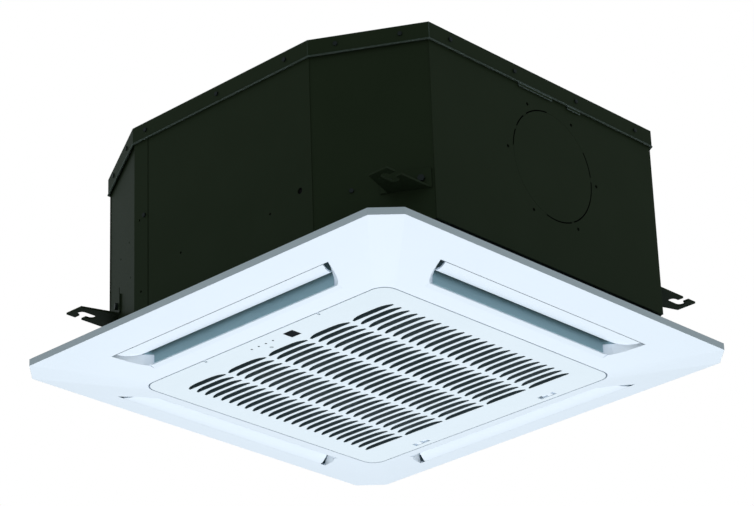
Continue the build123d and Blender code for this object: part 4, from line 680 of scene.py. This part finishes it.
# %% [markdown]
# ## Painted shadow round the knock-out
# The round knock-out is half sheared through the sheet with short bridges left between the cuts, and the
# powder bridges some of the cuts again.  The shade in the cuts is painted: a near-black broken arc a
# millimetre and a half wide.  Each painted strip lies between two radii, swept over its cut's own angles, a
# hair proud of the sheet.

# %% Broken arcs of painted shadow
# painted shadow: near-black strips stand in for the shade inside the knock-out's cuts
finish("score", "steel_cut_painted_shadow", ("#020302", "#060706"), (0.85, 0.95), size_mm=1.0, relief_mm=0.05,
       **{"Specular IOR Level": 0.02})
SCORE_CENTRE_MM = (11.2, -294.5, 164.6)
SCORE_RADII_MM = (72.4, 73.9)
SCORE_DEPTHS_MM = (-0.06, 0.1)
SCORE_CUTS_DEG = ((94, 128), (134, 152), (157, 176), (-104, -66), (-62, 2), (7, 33))
SCORE_STEPS = 24


def shadow_strip(start, end):
    """Rings of the painted shadow in one cut: a rectangle of radius and depth, swept over the angles from
    start to end.
    """
    near, far = SCORE_RADII_MM
    front, back = SCORE_DEPTHS_MM
    radius, depth = np.array([near, far, far, near]), np.array([front, front, back, back])
    angle = np.radians(np.linspace(start, end, SCORE_STEPS))[:, None]
    x, y, z = SCORE_CENTRE_MM
    rings = np.broadcast_arrays(x + radius * np.cos(angle), y + depth, z + radius * np.sin(angle))
    return np.stack(rings, -1)


cut_shadows = [sweep(shadow_strip(start, end)[None]) for start, end in SCORE_CUTS_DEG]
add_piece("knockout_painted_shadow", *joined(cut_shadows), "black_sheet", "housing", [], smooth=False, look=finishes["score"])

# %% [markdown]
# ## Floor, world and lamp
# The unit hangs in a white photo studio.  The camera sees plain white, through clear pieces too; what lights
# the unit is weaker, so that the white panel keeps its shading.  Nearly all of the light comes up from a pale
# floor and one very large soft lamp above it, as in the photograph, where the face that looks down is bright
# and every upright edge is about half as bright.  The floor lights the unit as pale paint would.  The camera
# sees it as bright as the backdrop from above, so that no view has a dark floor, and looks through it from
# below.

# %% Floor
FLOOR_Z = -3.1
FLOOR_HALF = 60.0
FLOOR_SEEN = 0.93

pale = finish("floor", "studio_floor_pale", ("#F4F4F4", "#F0F0F0"), (0.85, 0.95), size_mm=40.0, relief_mm=0.1)
tree = pale.node_tree
end = next(node for node in tree.nodes if node.type == "OUTPUT_MATERIAL")
lit = end.inputs["Surface"].links[0].from_node
eye = add_node(tree, "ShaderNodeLightPath")
plain = add_node(tree, "ShaderNodeEmission", {"Color": (FLOOR_SEEN, FLOOR_SEEN, FLOOR_SEEN, 1.0)})
both = add_node(tree, "ShaderNodeMixShader", {}, {0: (eye, "Is Camera Ray"), 1: (lit, 0), 2: (plain, 0)})
side = add_node(tree, "ShaderNodeNewGeometry")
under = add_node(tree, "ShaderNodeMath", {"operation": "MULTIPLY"},
                 {0: (eye, "Is Camera Ray"), 1: (side, "Backfacing")})
clear = add_node(tree, "ShaderNodeBsdfTransparent")
through = add_node(tree, "ShaderNodeMixShader", {}, {0: (under, 0), 1: (both, 0), 2: (clear, 0)})
tree.links.new(through.outputs[0], end.inputs["Surface"])

corners = [(-1, -1), (1, -1), (1, 1), (-1, 1)]
square = bpy.data.meshes.new("studio_floor")
square.from_pydata([(FLOOR_HALF * i, FLOOR_HALF * j, FLOOR_Z) for i, j in corners], [], [(0, 1, 2, 3)])
square.materials.append(pale)
floor = bpy.data.objects.new("studio_floor", square)
bpy.context.scene.collection.objects.link(floor)
print("floor at", FLOOR_Z)

# %% World and lamp
WORLD_LIGHT = 0.3
WORLD_TINT = (0.93, 1.06, 1.04, 1.0)
WHITE = (1.0, 1.0, 1.0, 1.0)
LAMP_PLACE = (0.1, 0.1, -2.6)
LAMP_WIDTH = 2.2
LAMP_WATTS = 73.0

world = bpy.data.worlds.new("studio")
world.use_nodes = True
bpy.context.scene.world = world
sky = world.node_tree
sky.nodes.clear()
path = add_node(sky, "ShaderNodeLightPath")
seen = add_node(sky, "ShaderNodeMath", {"operation": "MAXIMUM"},
                {0: (path, "Is Camera Ray"), 1: (path, "Is Transmission Ray")})
power = add_node(sky, "ShaderNodeMapRange", {"To Min": WORLD_LIGHT, "To Max": 1.0}, {"Value": (seen, 0)})
tone = add_node(sky, "ShaderNodeMix", {"data_type": "RGBA", MIX_A: WORLD_TINT, MIX_B: WHITE}, {0: (seen, 0)})
glow = add_node(sky, "ShaderNodeBackground", {}, {"Color": (tone, MIX_OUT), "Strength": (power, 0)})
add_node(sky, "ShaderNodeOutputWorld", {}, {"Surface": (glow, 0)})

lamp = bpy.data.lights.new("soft_from_below", "AREA")
lamp.shape = "SQUARE"
lamp.size = LAMP_WIDTH
lamp.energy = LAMP_WATTS
holder = bpy.data.objects.new("soft_from_below", lamp)
holder.location = LAMP_PLACE
holder.rotation_euler = (-Vector(LAMP_PLACE)).to_track_quat("-Z", "Y").to_euler()
holder.visible_camera = False
bpy.context.scene.collection.objects.link(holder)
bpy.context.scene.view_settings.view_transform = "Standard"
print("lamp", LAMP_WIDTH, "m wide,", LAMP_WATTS, "W")
